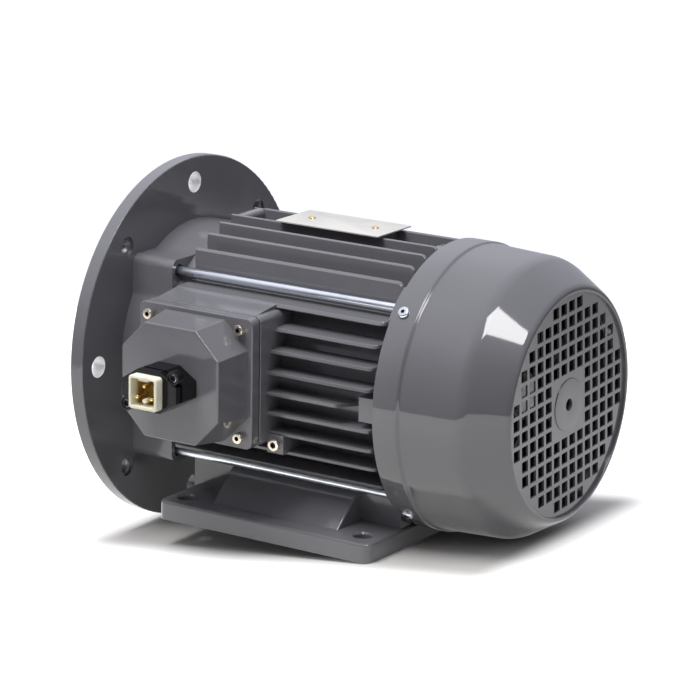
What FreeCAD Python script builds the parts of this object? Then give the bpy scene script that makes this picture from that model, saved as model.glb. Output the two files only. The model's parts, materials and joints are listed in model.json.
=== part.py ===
import FreeCAD, Part
import math
import os
import Sketcher
from FreeCAD import Placement, Rotation, Vector

# Three-phase induction motor for flange and foot mounting, millimetres.
# X runs along the shaft from the flange's mating face towards the fan, Z is up,
# and the terminal box stands on the -Y side. The origin is on the shaft's axis
# in the plane of the flange's mating face, and the drive shaft points to -X.

SIZES = {
    # mounting flange and drive end shield
    "flange_diameter": 250.0,
    "flange_thickness": 10.0,
    "flange_edge": 1.0,
    "spigot_diameter": 180.0,
    "spigot_height": 4.0,
    "spigot_rim": 16.0,
    "bolt_edge": 17.5,
    "bolt_hole": 14.5,
    "tapped_hole": 10.2,
    "tapped_mouth": 13.4,
    "tapped_mouth_depth": 1.5,
    "drum_wall": 12.0,
    "dish_depth": 7.0,
    "web_thickness": 9.0,
    "hub_wall": 8.95,
    "hub_front": 1.0,
    "boss_reach": 7.5,
    "boss_corner": 6.0,
    "boss_gap": 2.6,
    "boss_blend": 8.0,
    "register_depth": 4.0,
    "fit_gap": 0.05,
    # tie rods
    "rod_gap": 5.68,
    "rod_diameter": 6.0,
    "rod_thread": 18.0,
    "rod_tail": 4.0,
    "rod_mouth": 9.0,
    "rod_mouth_depth": 3.0,
    "nut_width": 10.0,
    "nut_height": 5.0,
    # frame
    "frame_front": 45.0,
    "frame_length": 171.0,
    "frame_bore": 150.0,
    "frame_wall": 4.0,
    "lip_length": 6.0,
    "lip_height": 3.0,
    "fin_circle": 188.0,
    "fin_rod_gap": 3.2,
    "fin_root": 3.6,
    "fin_tip": 2.2,
    "fin_rear_gap": 1.5,
    "fin_tip_round": 0.6,
    "fin_corner": 5.0,
    "fin_cut_length": 29.0,
    "fin_cut_slope": 12.0,
    # nameplate and its platform
    "plate_length": 81.0,
    "plate_width": 41.0,
    "plate_thickness": 1.0,
    "plate_gap": 0.5,
    "plate_shift": 1.0,
    "platform_length": 69.0,
    "platform_width": 24.0,
    "end_wall": 9.0,
    "end_wall_round": 3.5,
    "rivet_spacing": 50.0,
    "rivet_shank": 3.0,
    "rivet_head": 5.0,
    "rivet_length": 8.0,
    # terminal box
    "box_setback": 1.0,
    "box_height": 8.5,
    "box_length": 90.0,
    "box_width": 87.0,
    "box_edge": 0.6,
    "box_flare_set": 3.0,
    "box_flare_depth": 25.0,
    "box_flare_rise": 3.0,
    "box_corner": 5.0,
    "box_rise": 7.0,
    "box_floor_rise": 5.0,
    "box_wall": 4.0,
    "box_post": 15.0,
    "gasket_thickness": 1.8,
    "lid_plate": 7.7,
    "lid_rise": 28.0,
    "lid_margin_along": 3.5,
    "lid_margin_up": 3.0,
    "lid_draft_along": 7.0,
    "lid_draft_up": 5.0,
    "lid_edge": 1.2,
    "lid_plate_edge": 1.0,
    "lid_chamfer": 18.0,
    "lid_wall": 3.5,
    "lid_screw_inset": 9.0,
    "lid_screw_drop": 7.5,
    "lid_screw": 4.0,
    "lid_screw_head": 7.0,
    "lid_screw_head_height": 4.0,
    "lid_screw_grip": 9.0,
    "lead_hole_length": 10.0,
    "lead_hole_width": 20.0,
    "earth_lug_length": 11.5,
    "earth_lug_width": 12.5,
    "earth_lug_setback": 3.0,
    "earth_lug_drop": 42.5,
    "earth_screw": 5.0,
    "earth_screw_head": 8.0,
    "earth_screw_head_height": 3.6,
    "earth_screw_grip": 9.0,
    # terminals
    "block_length": 54.0,
    "block_width": 34.0,
    "block_thickness": 9.0,
    "stud_diameter": 4.0,
    "stud_length": 22.0,
    "stud_pitch": 18.0,
    "stud_rows": 16.0,
    "link_width": 8.0,
    "link_thickness": 1.0,
    "stud_nut_width": 7.0,
    "stud_nut_height": 3.2,
    # connector
    "plug_length": 43.0,
    "plug_width": 27.6,
    "plug_chamfer_length": 13.0,
    "plug_chamfer_width": 8.4,
    "plug_depth": 22.5,
    "plug_edge": 0.6,
    "plug_collar": 5.0,
    "plug_waist": 2.0,
    "plug_waist_step": 1.2,
    "insert_width": 22.0,
    "insert_corner": 2.4,
    "insert_edge": 0.7,
    "insert_wall": 1.8,
    "insert_proud": 6.5,
    "insert_depth": 18.0,
    "insert_floor": 4.0,
    "pin_diameter": 2.5,
    "pin_set": 1.5,
    "pin_rise": 4.3,
    "pin_drop": 3.4,
    "pin_across": 11.5,
    "insert_key_width": 7.5,
    "insert_key_height": 1.5,
    "plug_screw": 3.0,
    "plug_screw_head": 5.4,
    "plug_screw_head_height": 3.0,
    "plug_screw_pocket": 6.4,
    "plug_screw_depth": 3.2,
    "plug_screw_inset": 3.1,
    "plug_screw_drop": 2.6,
    "lobe_width": 9.2,
    "lobe_depth": 6.0,
    "lobe_setback": 0.8,
    "plug_wire_hole": 14.0,
    "post_width": 3.0,
    "post_drop": 5.5,
    # foot
    "shaft_height": 100.0,
    "foot_overhang": 1.5,
    "foot_setback": 0.5,
    "foot_width": 192.0,
    "foot_thickness": 13.0,
    "foot_top_round": 2.0,
    "foot_corner": 6.0,
    "foot_edge": 1.2,
    "foot_hole": 12.0,
    "foot_hole_inset": 12.5,
    "foot_hole_rear_inset": 14.5,
    "foot_hole_edge": 16.0,
    "foot_rod_gap": 5.0,
    "foot_body_gap": 0.5,
    "buttress_length": 100.0,
    "buttress_width": 161.0,
    "buttress_drop": 1.3,
    "buttress_round": 1.5,
    "saddle_gap": 0.2,
    "foot_pocket_length": 34.0,
    "foot_pocket_width": 30.0,
    "foot_web": 7.0,
    "foot_screw_inset": 11.5,
    "foot_screw_rear_inset": 19.5,
    "foot_screws_across": 36.0,
    "foot_screw": 8.0,
    "foot_screw_head": 13.0,
    "foot_screw_head_height": 8.0,
    "foot_screw_length": 16.0,
    # non-drive end shield
    "tail_thickness": 14.0,
    "tail_web": 8.0,
    "tail_web_front": 2.0,
    "tail_hub_wall": 6.95,
    "tail_hub_front": 11.0,
    "tail_hub_rear": 18.0,
    "tail_rim": 12.0,
    "lug_reach": 13.0,
    "lug_gap": 0.2,
    "tongue_width": 16.0,
    "tongue_height": 11.0,
    "tongue_gap": 0.6,
    "tongue_length": 11.5,
    # fan cowl
    "cowl_gap": 2.3,
    "cowl_rod_gap": 1.05,
    "cowl_band": 17.7,
    "cowl_step": 1.6,
    "cowl_step_drop": 1.4,
    "cowl_length": 62.7,
    "cowl_taper": 2.0,
    "cowl_shoulder_round": 16.0,
    "cowl_step_round": 2.2,
    "cowl_sheet": 1.5,
    "cowl_turn": 4.15,
    "nose_length": 25.3,
    "nose_taper": 14.7,
    "rim_height": 2.0,
    "rim_width": 2.4,
    "rim_slope": 2.0,
    "rim_round": 0.9,
    "grille_pitch": 10.0,
    "grille_hole": 7.4,
    "grille_rows": 14,
    "grille_middle": 4,
    "grille_edge": 6.5,
    "grille_disc": 35.0,
    "grille_disc_height": 0.6,
    "grille_centre_hole": 8.0,
    "cowl_screw_inset": 7.7,
    "cowl_screw": 4.0,
    "cowl_screw_head": 8.0,
    "cowl_screw_head_height": 2.2,
    "cowl_screw_length": 10.0,
    # shaft
    "shaft_diameter": 28.0,
    "shaft_length": 60.0,
    "shaft_chamfer": 1.0,
    "centre_hole": 8.5,
    "centre_hole_depth": 22.0,
    "shoulder_step": 3.0,
    "core_step": 1.0,
    "tail_step": 2.0,
    "fan_step": 1.0,
    "shaft_tail": 3.4,
    "key_width": 8.0,
    "key_height": 7.0,
    "key_length": 50.0,
    "key_end_gap": 5.0,
    "keyway_depth": 4.0,
    # bearings, seal and rings
    "bearing_bore": 30.0,
    "bearing_outside": 62.0,
    "bearing_width": 16.0,
    "bearing_groove": 9.8,
    "land_gap": 3.7,
    "ball_diameter": 9.0,
    "ball_count": 9,
    "cage_thickness": 2.4,
    "cage_width": 11.0,
    "cage_gap": 0.2,
    "drive_bearing_front": 13.0,
    "tail_bearing_set": 8.0,
    "seal_height": 6.0,
    "seal_front": 1.5,
    "seal_width": 7.0,
    "seal_wall": 1.5,
    "seal_lip_gap": 0.3,
    "neck_gap": 3.0,
    "circlip_width": 1.5,
    "circlip_depth": 2.0,
    "circlip_band": 3.5,
    "circlip_opening": 9.0,
    "preload_thickness": 2.4,
    "preload_band": 4.0,
    # stator and rotor
    "core_front_room": 30.0,
    "core_rear_room": 31.0,
    "air_gap": 0.5,
    "stator_bore": 95.0,
    "slot_count": 24,
    "slot_width": 6.0,
    "slot_mouth": 2.6,
    "slot_lip": 1.6,
    "slot_depth": 15.0,
    "slot_liner": 0.3,
    "end_turn": 15.0,
    "end_turn_bulge": 4.0,
    "end_turn_bevel": 3.0,
    "bar_count": 20,
    "bar_width": 4.0,
    "bar_depth": 9.0,
    "bar_bridge": 3.0,
    "bar_gap": 0.05,
    "end_ring": 12.0,
    "end_ring_lip": 2.0,
    # fan
    "fan_gap": 14.0,
    "fan_hub_length": 28.0,
    "fan_hub_wall": 5.0,
    "fan_disc_step": 12.0,
    "fan_disc_setback": 3.0,
    "fan_disc_thickness": 3.0,
    "fan_tip_gap": 11.1,
    "fan_blade": 2.5,
    "fan_blade_reach": 36.0,
    "fan_blade_edge": 28.0,
    "fan_blade_shoulder": 44.0,
    "fan_blades": 8,
}

HALF_DIAGONAL = math.sqrt(0.5)
SIDES = (-1, 1)
QUARTER = 90.0
SHEET = "Sizes"
FIN_STEPS = 4
ROOT_SHARE = 0.8
FIN_ROOT_SHARE = 0.65
SOCKET_SHARE = 0.46
SOCKET_FLOOR = 0.45
EAST = Vector(1, 0, 0)
OUT = Vector(0, -1, 0)
UP = Vector(0, 0, 1)

doc = FreeCAD.newDocument("induction_motor")
finished = []


class Size:
    """A length that carries its number and the sheet formula behind it."""

    def __init__(self, value, formula):
        self.value = value
        self.formula = formula

    def __add__(self, other):
        return Size(self.value + number(other), f"({self.formula} + {formula(other)})")

    def __radd__(self, other):
        return self + other

    def __sub__(self, other):
        return Size(self.value - number(other), f"({self.formula} - {formula(other)})")

    def __rsub__(self, other):
        return -self + other

    def __mul__(self, other):
        return Size(self.value * number(other), f"({self.formula} * {formula(other)})")

    def __rmul__(self, other):
        return self * other

    def __truediv__(self, other):
        return Size(self.value / number(other), f"({self.formula} / {formula(other)})")

    def __neg__(self):
        return Size(-self.value, f"(-{self.formula})")


def number(item):
    return item.value if isinstance(item, Size) else float(item)


def formula(item):
    return item.formula if isinstance(item, Size) else f"({float(item)!r})"


def half(item):
    return item / 2


def make_sheet():
    """Write the driving dimensions into the sheet and return them as sizes."""
    sheet = doc.addObject("Spreadsheet::Sheet", SHEET)
    for row, (alias, value) in enumerate(SIZES.items(), start=1):
        sheet.set(f"A{row}", alias)
        sheet.set(f"B{row}", str(value))
        sheet.setAlias(f"B{row}", alias)
    doc.recompute()
    return {alias: Size(float(value), f"{SHEET}.{alias}") for alias, value in SIZES.items()}


class Named:
    """The sheet's sizes by name."""

    def __init__(self, sizes):
        self.__dict__.update(sizes)


s = Named(make_sheet())


def bind(item, path, size):
    """Tie one property of a document object to the sheet."""
    item.setExpression(path, formula(size))


def keep(item, label):
    """Mark an object as a finished sub-part under its own name."""
    item.Label = label
    finished.append(item)
    return item


# Sketch and feature helpers


def new_body(name):
    return doc.addObject("PartDesign::Body", name)


def origin_item(body, role):
    return next(item for item in body.Origin.OriginFeatures if item.Role == role)


def sketch_on(body, plane, offset=0):
    """Sketch on an origin plane, moved along the plane's normal: +X, -Y or +Z."""
    sketch = body.newObject("Sketcher::SketchObject", f"{body.Name}_sketch")
    sketch.AttachmentSupport = [(origin_item(body, plane), "")]
    sketch.MapMode = "FlatFace"
    bind(sketch, "AttachmentOffset.Base.z", offset)
    return sketch


def tie_point(sketch, geometry, point, place):
    """Fix a sketch point at a pair of sizes measured from the origin."""
    for kind, axis, size in (("DistanceX", -2, place[0]), ("DistanceY", -1, place[1])):
        if not isinstance(size, Size) and number(size) == 0:
            sketch.addConstraint(Sketcher.Constraint("PointOnObject", geometry, point, axis))
            continue
        row = sketch.addConstraint(Sketcher.Constraint(kind, -1, 1, geometry, point, number(size)))
        bind(sketch, f"Constraints[{row}]", size)


def bulge(start, end, radius):
    """Middle of an arc that leaves the straight side to the right of its run."""
    along = end - start
    outward = Vector(along.y, -along.x, 0).normalize()
    rise = abs(radius) - math.sqrt(max(radius ** 2 - along.Length ** 2 / 4, 0))
    return (start + end) / 2 + outward * math.copysign(rise, radius)


def add_side(sketch, corner, following):
    """One side of a loop, straight or bent; returns its number and its two point codes in order."""
    start = Vector(number(corner[0]), number(corner[1]), 0)
    end = Vector(number(following[0]), number(following[1]), 0)
    if len(corner) == 2:
        return sketch.addGeometry(Part.LineSegment(start, end), False), 1, 2
    radius = corner[2]
    arc = sketch.addGeometry(Part.Arc(start, bulge(start, end, number(radius)), end), False)
    size = radius if number(radius) > 0 else -radius
    row = sketch.addConstraint(Sketcher.Constraint("Radius", arc, number(size)))
    bind(sketch, f"Constraints[{row}]", size)
    first = 1 if sketch.getPoint(arc, 1).distanceToPoint(start) < 1e-6 else 2
    return arc, first, 3 - first


def add_loop(sketch, corners):
    """Closed run through corners given as pairs of sizes; a third size bends the side that follows."""
    sides = [add_side(sketch, a, b) for a, b in zip(corners, corners[1:] + corners[:1])]
    for (side, _, last), (following, first, _) in zip(sides, sides[1:] + sides[:1]):
        sketch.addConstraint(Sketcher.Constraint("Coincident", side, last, following, first))
    for (side, first, _), corner in zip(sides, corners):
        tie_point(sketch, side, first, corner[:2])


def add_circle(sketch, centre, diameter):
    middle = Vector(number(centre[0]), number(centre[1]), 0)
    ring = sketch.addGeometry(Part.Circle(middle, Vector(0, 0, 1), number(diameter) / 2), False)
    tie_point(sketch, ring, 3, centre)
    row = sketch.addConstraint(Sketcher.Constraint("Diameter", ring, number(diameter)))
    bind(sketch, f"Constraints[{row}]", diameter)


def rectangle(left, right, low, high):
    return [(left, low), (right, low), (right, high), (left, high)]


def centred(across, middle_across, up, middle_up):
    return rectangle(middle_across - half(across), middle_across + half(across),
                     middle_up - half(up), middle_up + half(up))


def rounded(across, middle_across, up, middle_up, radius):
    """Corners of a rectangle about a middle, joined by round corners."""
    left, right = middle_across - half(across), middle_across + half(across)
    low, high = middle_up - half(up), middle_up + half(up)
    return [(left + radius, low), (right - radius, low, radius), (right, low + radius),
            (right, high - radius, radius), (right - radius, high), (left + radius, high, radius),
            (left, high - radius), (left, low + radius, radius)]


def octagon(length, middle_along, width, middle_up, cut_along, cut_up):
    """Rectangle with its four corners cut."""
    left, right = middle_along - half(length), middle_along + half(length)
    low, high = middle_up - half(width), middle_up + half(width)
    return [(left + cut_along, low), (right - cut_along, low), (right, low + cut_up), (right, high - cut_up),
            (right - cut_along, high), (left + cut_along, high), (left, high - cut_up), (left, low + cut_up)]


def extrude(kind, body, sketch, length, reverse, middle):
    feature = body.newObject(kind, f"{body.Name}_feature")
    feature.Profile = sketch
    bind(feature, "Length", length)
    feature.Reversed = reverse
    if middle:
        feature.SideType = "Symmetric"
    return feature


def pad(body, sketch, length, reverse=False, middle=False):
    """Add material along the sketch's normal."""
    return extrude("PartDesign::Pad", body, sketch, length, reverse, middle)


def pocket(body, sketch, length, reverse=False, middle=False):
    """Cut against the sketch's normal, or along it when reversed."""
    return extrude("PartDesign::Pocket", body, sketch, length, reverse, middle)


def turn(kind, body, corners):
    """Spin a closed outline in (X, radius) about the shaft's axis."""
    sketch = sketch_on(body, "XY_Plane")
    add_loop(sketch, corners)
    feature = body.newObject(kind, f"{body.Name}_turned")
    feature.Profile = sketch
    feature.ReferenceAxis = (origin_item(body, "X_Axis"), [""])
    feature.Angle = 360
    return feature


def revolve(body, corners):
    return turn("PartDesign::Revolution", body, corners)


def groove(body, corners):
    return turn("PartDesign::Groove", body, corners)


def around(body, feature, count):
    """Repeat a feature evenly about the shaft's axis."""
    pattern = body.newObject("PartDesign::PolarPattern", f"{body.Name}_ring")
    pattern.Originals = [feature]
    pattern.Axis = (origin_item(body, "X_Axis"), [""])
    pattern.Angle = 360
    bind(pattern, "Occurrences", count)
    body.Tip = pattern
    return pattern


def in_row(body, features, axis, length, count):
    """Repeat features along one of the origin's axes."""
    pattern = body.newObject("PartDesign::LinearPattern", f"{body.Name}_row")
    pattern.Originals = features
    pattern.Direction = (origin_item(body, axis), [""])
    bind(pattern, "Length", length)
    bind(pattern, "Occurrences", count)
    body.Tip = pattern
    return pattern


def soften(kind, body, size, chosen):
    """Fillet or chamfer the edges of the body's last feature that a test picks."""
    doc.recompute()
    base = body.Tip
    names = [f"Edge{i}" for i, edge in enumerate(base.Shape.Edges, start=1) if chosen(edge)]
    feature = body.newObject(kind, f"{body.Name}_edges")
    feature.Base = (base, names)
    bind(feature, "Radius" if kind.endswith("Fillet") else "Size", size)
    return feature


def fillet(body, size, chosen):
    return soften("PartDesign::Fillet", body, size, chosen)


def chamfer(body, size, chosen):
    return soften("PartDesign::Chamfer", body, size, chosen)


def near(value, size, slack=0.01):
    return abs(value - number(size)) < slack


def runs_along(edge, axis):
    """True for a straight edge parallel to the unit vector."""
    if not isinstance(edge.Curve, Part.Line):
        return False
    direction = edge.tangentAt(edge.FirstParameter)
    return abs(abs(direction.dot(axis)) - 1) < 1e-6


def slopes_down(edge):
    """True for a straight edge that falls to one side, square to the shaft."""
    if not isinstance(edge.Curve, Part.Line):
        return False
    direction = edge.tangentAt(edge.FirstParameter)
    return abs(direction.x) < 1e-6 and abs(direction.y) > 0.1 and abs(direction.z) > 0.1


def ring_edge(edge, place, diameter):
    """True for a full circle about the shaft's axis at a place along it."""
    if not isinstance(edge.Curve, Part.Circle):
        return False
    centre = edge.Curve.Center
    on_axis = abs(centre.y) < 0.01 and abs(centre.z) < 0.01
    return on_axis and near(centre.x, place) and near(2 * edge.Curve.Radius, diameter)


# Helpers for plain solids and their copies


def cylinder(name, diameter, length, direction=Vector(1, 0, 0), base=(0, 0, 0)):
    item = doc.addObject("Part::Cylinder", name)
    bind(item, "Radius", half(diameter))
    bind(item, "Height", length)
    item.Placement = Placement(Vector(), Rotation(Vector(0, 0, 1), direction))
    move(item, base)
    return item


def move(item, base):
    for axis, size in zip("xyz", base):
        bind(item, f"Placement.Base.{axis}", size)


def box(name, sizes, base):
    item = doc.addObject("Part::Box", name)
    for side, size in zip(("Length", "Width", "Height"), sizes):
        bind(item, side, size)
    move(item, base)
    return item


def hexagon(name, width, height, direction, base):
    item = doc.addObject("Part::Prism", name)
    item.Polygon = 6
    bind(item, "Circumradius", width / math.sqrt(3))
    bind(item, "Height", height)
    item.Placement = Placement(Vector(), Rotation(Vector(0, 0, 1), direction))
    move(item, base)
    return item


def cut(name, base, tool):
    item = doc.addObject("Part::Cut", name)
    item.Base = base
    item.Tool = tool
    return item


def compound(name, items):
    group = doc.addObject("Part::Compound", name)
    group.Links = items
    return group


def shifted(name, source, places):
    """Copies of a solid moved to places given as triples of sizes."""
    links = []
    for place in places:
        link = doc.addObject("App::Link", f"{name}_copy")
        link.LinkedObject = source
        link.LinkTransform = True
        move(link, place)
        links.append(link)
    return compound(name, links)


def turned(name, source, angles):
    """Copies of a solid turned about the shaft's axis."""
    links = []
    for angle in angles:
        link = doc.addObject("App::Link", f"{name}_copy")
        link.LinkedObject = source
        link.LinkTransform = True
        link.Placement = Placement(Vector(), Rotation(Vector(1, 0, 0), 0))
        bind(link, "Placement.Rotation.Angle", angle)
        links.append(link)
    return compound(name, links)


def quarters(start=0):
    return [start + QUARTER * step for step in range(4)]


def turned_screw(name, thread, head, head_height, length, direction, base):
    """Cheese-head screw with a hexagon socket, its seat at the base and its head along the direction."""
    shank = cylinder(f"{name}_shank", thread, length + head_height / 2, direction)
    crown = cylinder(f"{name}_crown", head, head_height, direction)
    socket = hexagon(f"{name}_socket", head * SOCKET_SHARE, head_height, direction, (0, 0, 0))
    for item, start in ((shank, -length), (crown, 0 * head_height), (socket, head_height * SOCKET_FLOOR)):
        move(item, [place + start * way for place, way in zip(base, direction)])
    whole = doc.addObject("Part::Fuse", f"{name}_blank")
    whole.Base = shank
    whole.Tool = crown
    return cut(f"{name}_one", whole, socket)


# Places that several sub-parts share

barrel_radius = half(s.frame_bore) + s.frame_wall
drum_radius = barrel_radius + s.lip_height
rod_at = (barrel_radius + s.rod_gap + half(s.rod_diameter)) * HALF_DIAGONAL
boss_half = rod_at + s.boss_reach
bolt_radius = half(s.flange_diameter) - s.bolt_edge
shield_register = half(s.frame_bore) - 2 * s.fit_gap
bearing_seat = half(s.bearing_outside) + s.fit_gap
boss_rear = s.frame_front - s.boss_gap
frame_rear = s.frame_front + s.frame_length

fin_front = s.frame_front + s.lip_length
fin_rear = frame_rear - s.fin_rear_gap
fin_reach = half(s.fin_circle)
fin_pitch = (rod_at - half(s.rod_diameter) - s.fin_rod_gap - half(s.fin_root)) / FIN_STEPS
plate_height = fin_reach + s.plate_gap
plate_middle = s.frame_front + half(s.frame_length) + s.plate_shift

box_left = s.frame_front + s.box_setback
box_middle = box_left + half(s.box_length)
box_right = box_left + s.box_length
box_face = fin_reach + s.box_rise
box_floor = barrel_radius + s.box_floor_rise
box_root = half(s.frame_bore) * ROOT_SHARE
gasket_face = box_face + s.gasket_thickness
lid_step = gasket_face + s.lid_plate
lid_front = lid_step + s.lid_rise
lid_base_length = s.box_length - 2 * s.lid_margin_along
lid_base_width = s.box_width - 2 * s.lid_margin_up
lid_top_length = lid_base_length - s.lid_draft_along
lid_top_width = lid_base_width - s.lid_draft_up
plug_front = lid_front + s.plug_depth
insert_front = plug_front + s.insert_proud
insert_back = insert_front - s.insert_depth
insert_base = insert_back + s.insert_floor
lobe_front = plug_front - s.lobe_setback
earth_face = fin_reach - s.earth_lug_setback
earth_place = (box_right + half(s.earth_lug_length), s.box_height - s.earth_lug_drop)

tail_rear = frame_rear + s.tail_thickness
tail_bearing_front = frame_rear - s.tail_bearing_set
tail_bearing_rear = tail_bearing_front + s.bearing_width
fan_front = tail_rear + s.fan_gap
cowl_front = frame_rear + s.cowl_gap
cowl_radius = rod_at / HALF_DIAGONAL + s.nut_width / math.sqrt(3) + s.cowl_rod_gap + s.cowl_sheet
cowl_waist = cowl_radius - s.cowl_step_drop
cowl_shoulder = cowl_front + s.cowl_length
shoulder_radius = cowl_waist - s.cowl_taper
grille_face = cowl_shoulder + s.nose_length
grille_radius = shoulder_radius - s.nose_taper - s.rim_slope - s.rim_width
cowl_screw_place = cowl_front + s.cowl_screw_inset

core_front = s.frame_front + s.core_front_room
core_rear = frame_rear - s.core_rear_room
core_length = core_rear - core_front
race_radius = (s.bearing_bore + s.bearing_outside) / 4
inner_land = race_radius - s.land_gap
outer_land = race_radius + s.land_gap
shoulder = half(s.bearing_bore) + s.shoulder_step
core_seat = shoulder + s.core_step
tail_seat = half(s.bearing_bore) - s.tail_step
fan_seat = tail_seat - s.fan_step
seal_outside = half(s.bearing_bore) + s.seal_height

foot_front = fin_front - s.foot_setback
foot_rear = frame_rear + s.foot_overhang
foot_top = -s.shaft_height + s.foot_thickness
foot_middle = (foot_front + foot_rear) / 2
foot_body = rod_at - half(s.rod_diameter) - s.foot_rod_gap
foot_roof = -barrel_radius - s.foot_web
foot_screw_front = foot_front + s.foot_screw_inset
foot_screws_along = foot_rear - s.foot_screw_rear_inset - foot_screw_front


def lid_corners():
    """Middles of the lid's four screws as (X, Z)."""
    along = half(s.box_length) - s.lid_screw_inset
    up = half(s.box_width) - s.lid_screw_drop
    return [(box_middle + side * along, s.box_height + level * up) for side in SIDES for level in SIDES]


def plug_screw_places():
    """Middles of the connector's two screws as (X, Z), on one diagonal."""
    along = half(s.plug_length) - s.plug_screw_inset
    up = half(s.plug_width) - s.plug_screw_drop
    return [(box_middle + side * along, s.box_height + side * up) for side in SIDES]


def pin_places():
    lower = [(box_middle + side * half(s.pin_across), s.box_height - s.pin_drop) for side in SIDES]
    return [(box_middle, s.box_height + s.pin_rise), *lower]


def stud_places():
    return [(box_middle + column * s.stud_pitch, s.box_height + row * half(s.stud_rows))
            for column in (-1, 0, 1) for row in SIDES]


def foot_screw_places():
    return [(foot_screw_front + step * foot_screws_along, side * half(s.foot_screws_across))
            for step in (0, 1) for side in SIDES]


# Castings


def drive_end_shield():
    """Flange disc, drum, corner bosses and bearing hub of the drive end."""
    body = new_body("shield_front")
    spigot = half(s.spigot_diameter)
    disc = half(s.flange_diameter)
    tip = s.frame_front + s.register_depth
    revolve(body, [(-s.spigot_height, 0), (-s.spigot_height, spigot), (0, spigot), (0, disc),
                   (s.flange_thickness, disc), (s.flange_thickness, drum_radius),
                   (s.frame_front, drum_radius), (s.frame_front, shield_register),
                   (tip, shield_register), (tip, 0)])
    fillet(body, s.flange_edge, lambda edge: ring_edge(edge, 0, s.flange_diameter)
           or ring_edge(edge, s.flange_thickness, s.flange_diameter))
    add_rod_bosses(body)
    bore_drive_hub(body, tip)
    drill_flange(body)
    keep(body, "drive_end_shield")


def add_rod_bosses(body):
    """Rounded square behind the flange whose corners carry the tie rods."""
    sketch = sketch_on(body, "YZ_Plane", s.flange_thickness)
    add_loop(sketch, rectangle(-boss_half, boss_half, -boss_half, boss_half))
    pad(body, sketch, boss_rear - s.flange_thickness)
    wide = number(boss_half)

    def at_corner(edge):
        middle = edge.CenterOfMass
        return runs_along(edge, EAST) and near(abs(middle.y), wide) and near(abs(middle.z), wide)

    def at_drum(edge):
        middle = edge.CenterOfMass
        on_drum = near(math.hypot(middle.y, middle.z), drum_radius)
        return runs_along(edge, EAST) and on_drum and near(max(abs(middle.y), abs(middle.z)), wide)

    fillet(body, s.boss_corner, at_corner)
    fillet(body, s.boss_blend, at_drum)


def bore_drive_hub(body, tip):
    """Hollow the shield from behind and dish it in front, with the bearing, circlip and seal seats."""
    web_rear = s.dish_depth + s.web_thickness
    hub = bearing_seat + s.hub_wall
    bearing_rear = s.drive_bearing_front + s.bearing_width
    clip_rear = bearing_rear + s.circlip_width + 2 * s.fit_gap
    clip_floor = bearing_seat + s.circlip_depth
    hub_rear = clip_rear + s.circlip_width
    seal_rear = s.seal_front + s.seal_width
    seal_seat = seal_outside + s.fit_gap
    neck = half(s.bearing_bore) + s.neck_gap
    groove(body, [(tip + 1, 0), (tip + 1, drum_radius - s.drum_wall), (web_rear, drum_radius - s.drum_wall),
                  (web_rear, hub), (hub_rear, hub), (hub_rear, bearing_seat), (clip_rear, bearing_seat),
                  (clip_rear, clip_floor), (bearing_rear, clip_floor), (bearing_rear, bearing_seat),
                  (s.drive_bearing_front, bearing_seat), (s.drive_bearing_front, neck), (seal_rear, neck),
                  (seal_rear, 0)])
    dish = half(s.spigot_diameter) - s.spigot_rim
    front = -s.spigot_height - 1
    groove(body, [(front, 0), (front, dish), (s.dish_depth, dish), (s.dish_depth, hub), (s.hub_front, hub),
                  (s.hub_front, seal_seat), (seal_rear, seal_seat), (seal_rear, 0)])


def drill_flange(body):
    """Plain and tapped flange holes in turn, and the tie rods' tapped holes."""
    reach = bolt_radius
    slant = reach * HALF_DIAGONAL
    holes = (((reach, 0), s.bolt_hole, s.flange_thickness, s.flange_thickness),
             ((slant, slant), s.tapped_hole, s.flange_thickness, s.flange_thickness),
             ((slant, slant), s.tapped_mouth, s.flange_thickness, s.tapped_mouth_depth),
             ((rod_at, rod_at), s.rod_diameter + 2 * s.fit_gap, boss_rear, s.rod_thread),
             ((rod_at, rod_at), s.rod_mouth, boss_rear, s.rod_mouth_depth))
    for centre, diameter, place, depth in holes:
        sketch = sketch_on(body, "YZ_Plane", place)
        add_circle(sketch, centre, diameter)
        around(body, pocket(body, sketch, depth), 4)


def stator_frame():
    """Finned barrel with the terminal box base, the nameplate platform and the earth lug."""
    body = new_body("frame_casting")
    inside = half(s.frame_bore) - s.frame_wall
    rear_lip = frame_rear - s.lip_length
    revolve(body, [(s.frame_front, inside), (s.frame_front, drum_radius), (fin_front, drum_radius),
                   (fin_front, barrel_radius), (rear_lip, barrel_radius), (rear_lip, drum_radius),
                   (frame_rear, drum_radius), (frame_rear, inside)])
    add_fins(body)
    add_terminal_base(body)
    add_platform(body)
    clear_tongues(body)
    sketch = sketch_on(body, "YZ_Plane", frame_rear)
    add_circle(sketch, (0, 0), s.frame_bore)
    pocket(body, sketch, s.frame_length)
    sketch = sketch_on(body, "XY_Plane", -s.shaft_height)
    for place in foot_screw_places():
        add_circle(sketch, place, s.foot_screw + 2 * s.fit_gap)
    pocket(body, sketch, s.shaft_height - half(s.frame_bore) + half(s.foot_screw), reverse=True)
    keep(body, "stator_frame")


def fin_outline(middle, start, end):
    """Tapered fin across a sketch, as (across, along) pairs."""
    root, tip = half(s.fin_root), half(s.fin_tip)
    return [(middle - root, start), (middle + root, start), (middle + tip, end), (middle - tip, end)]


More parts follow.
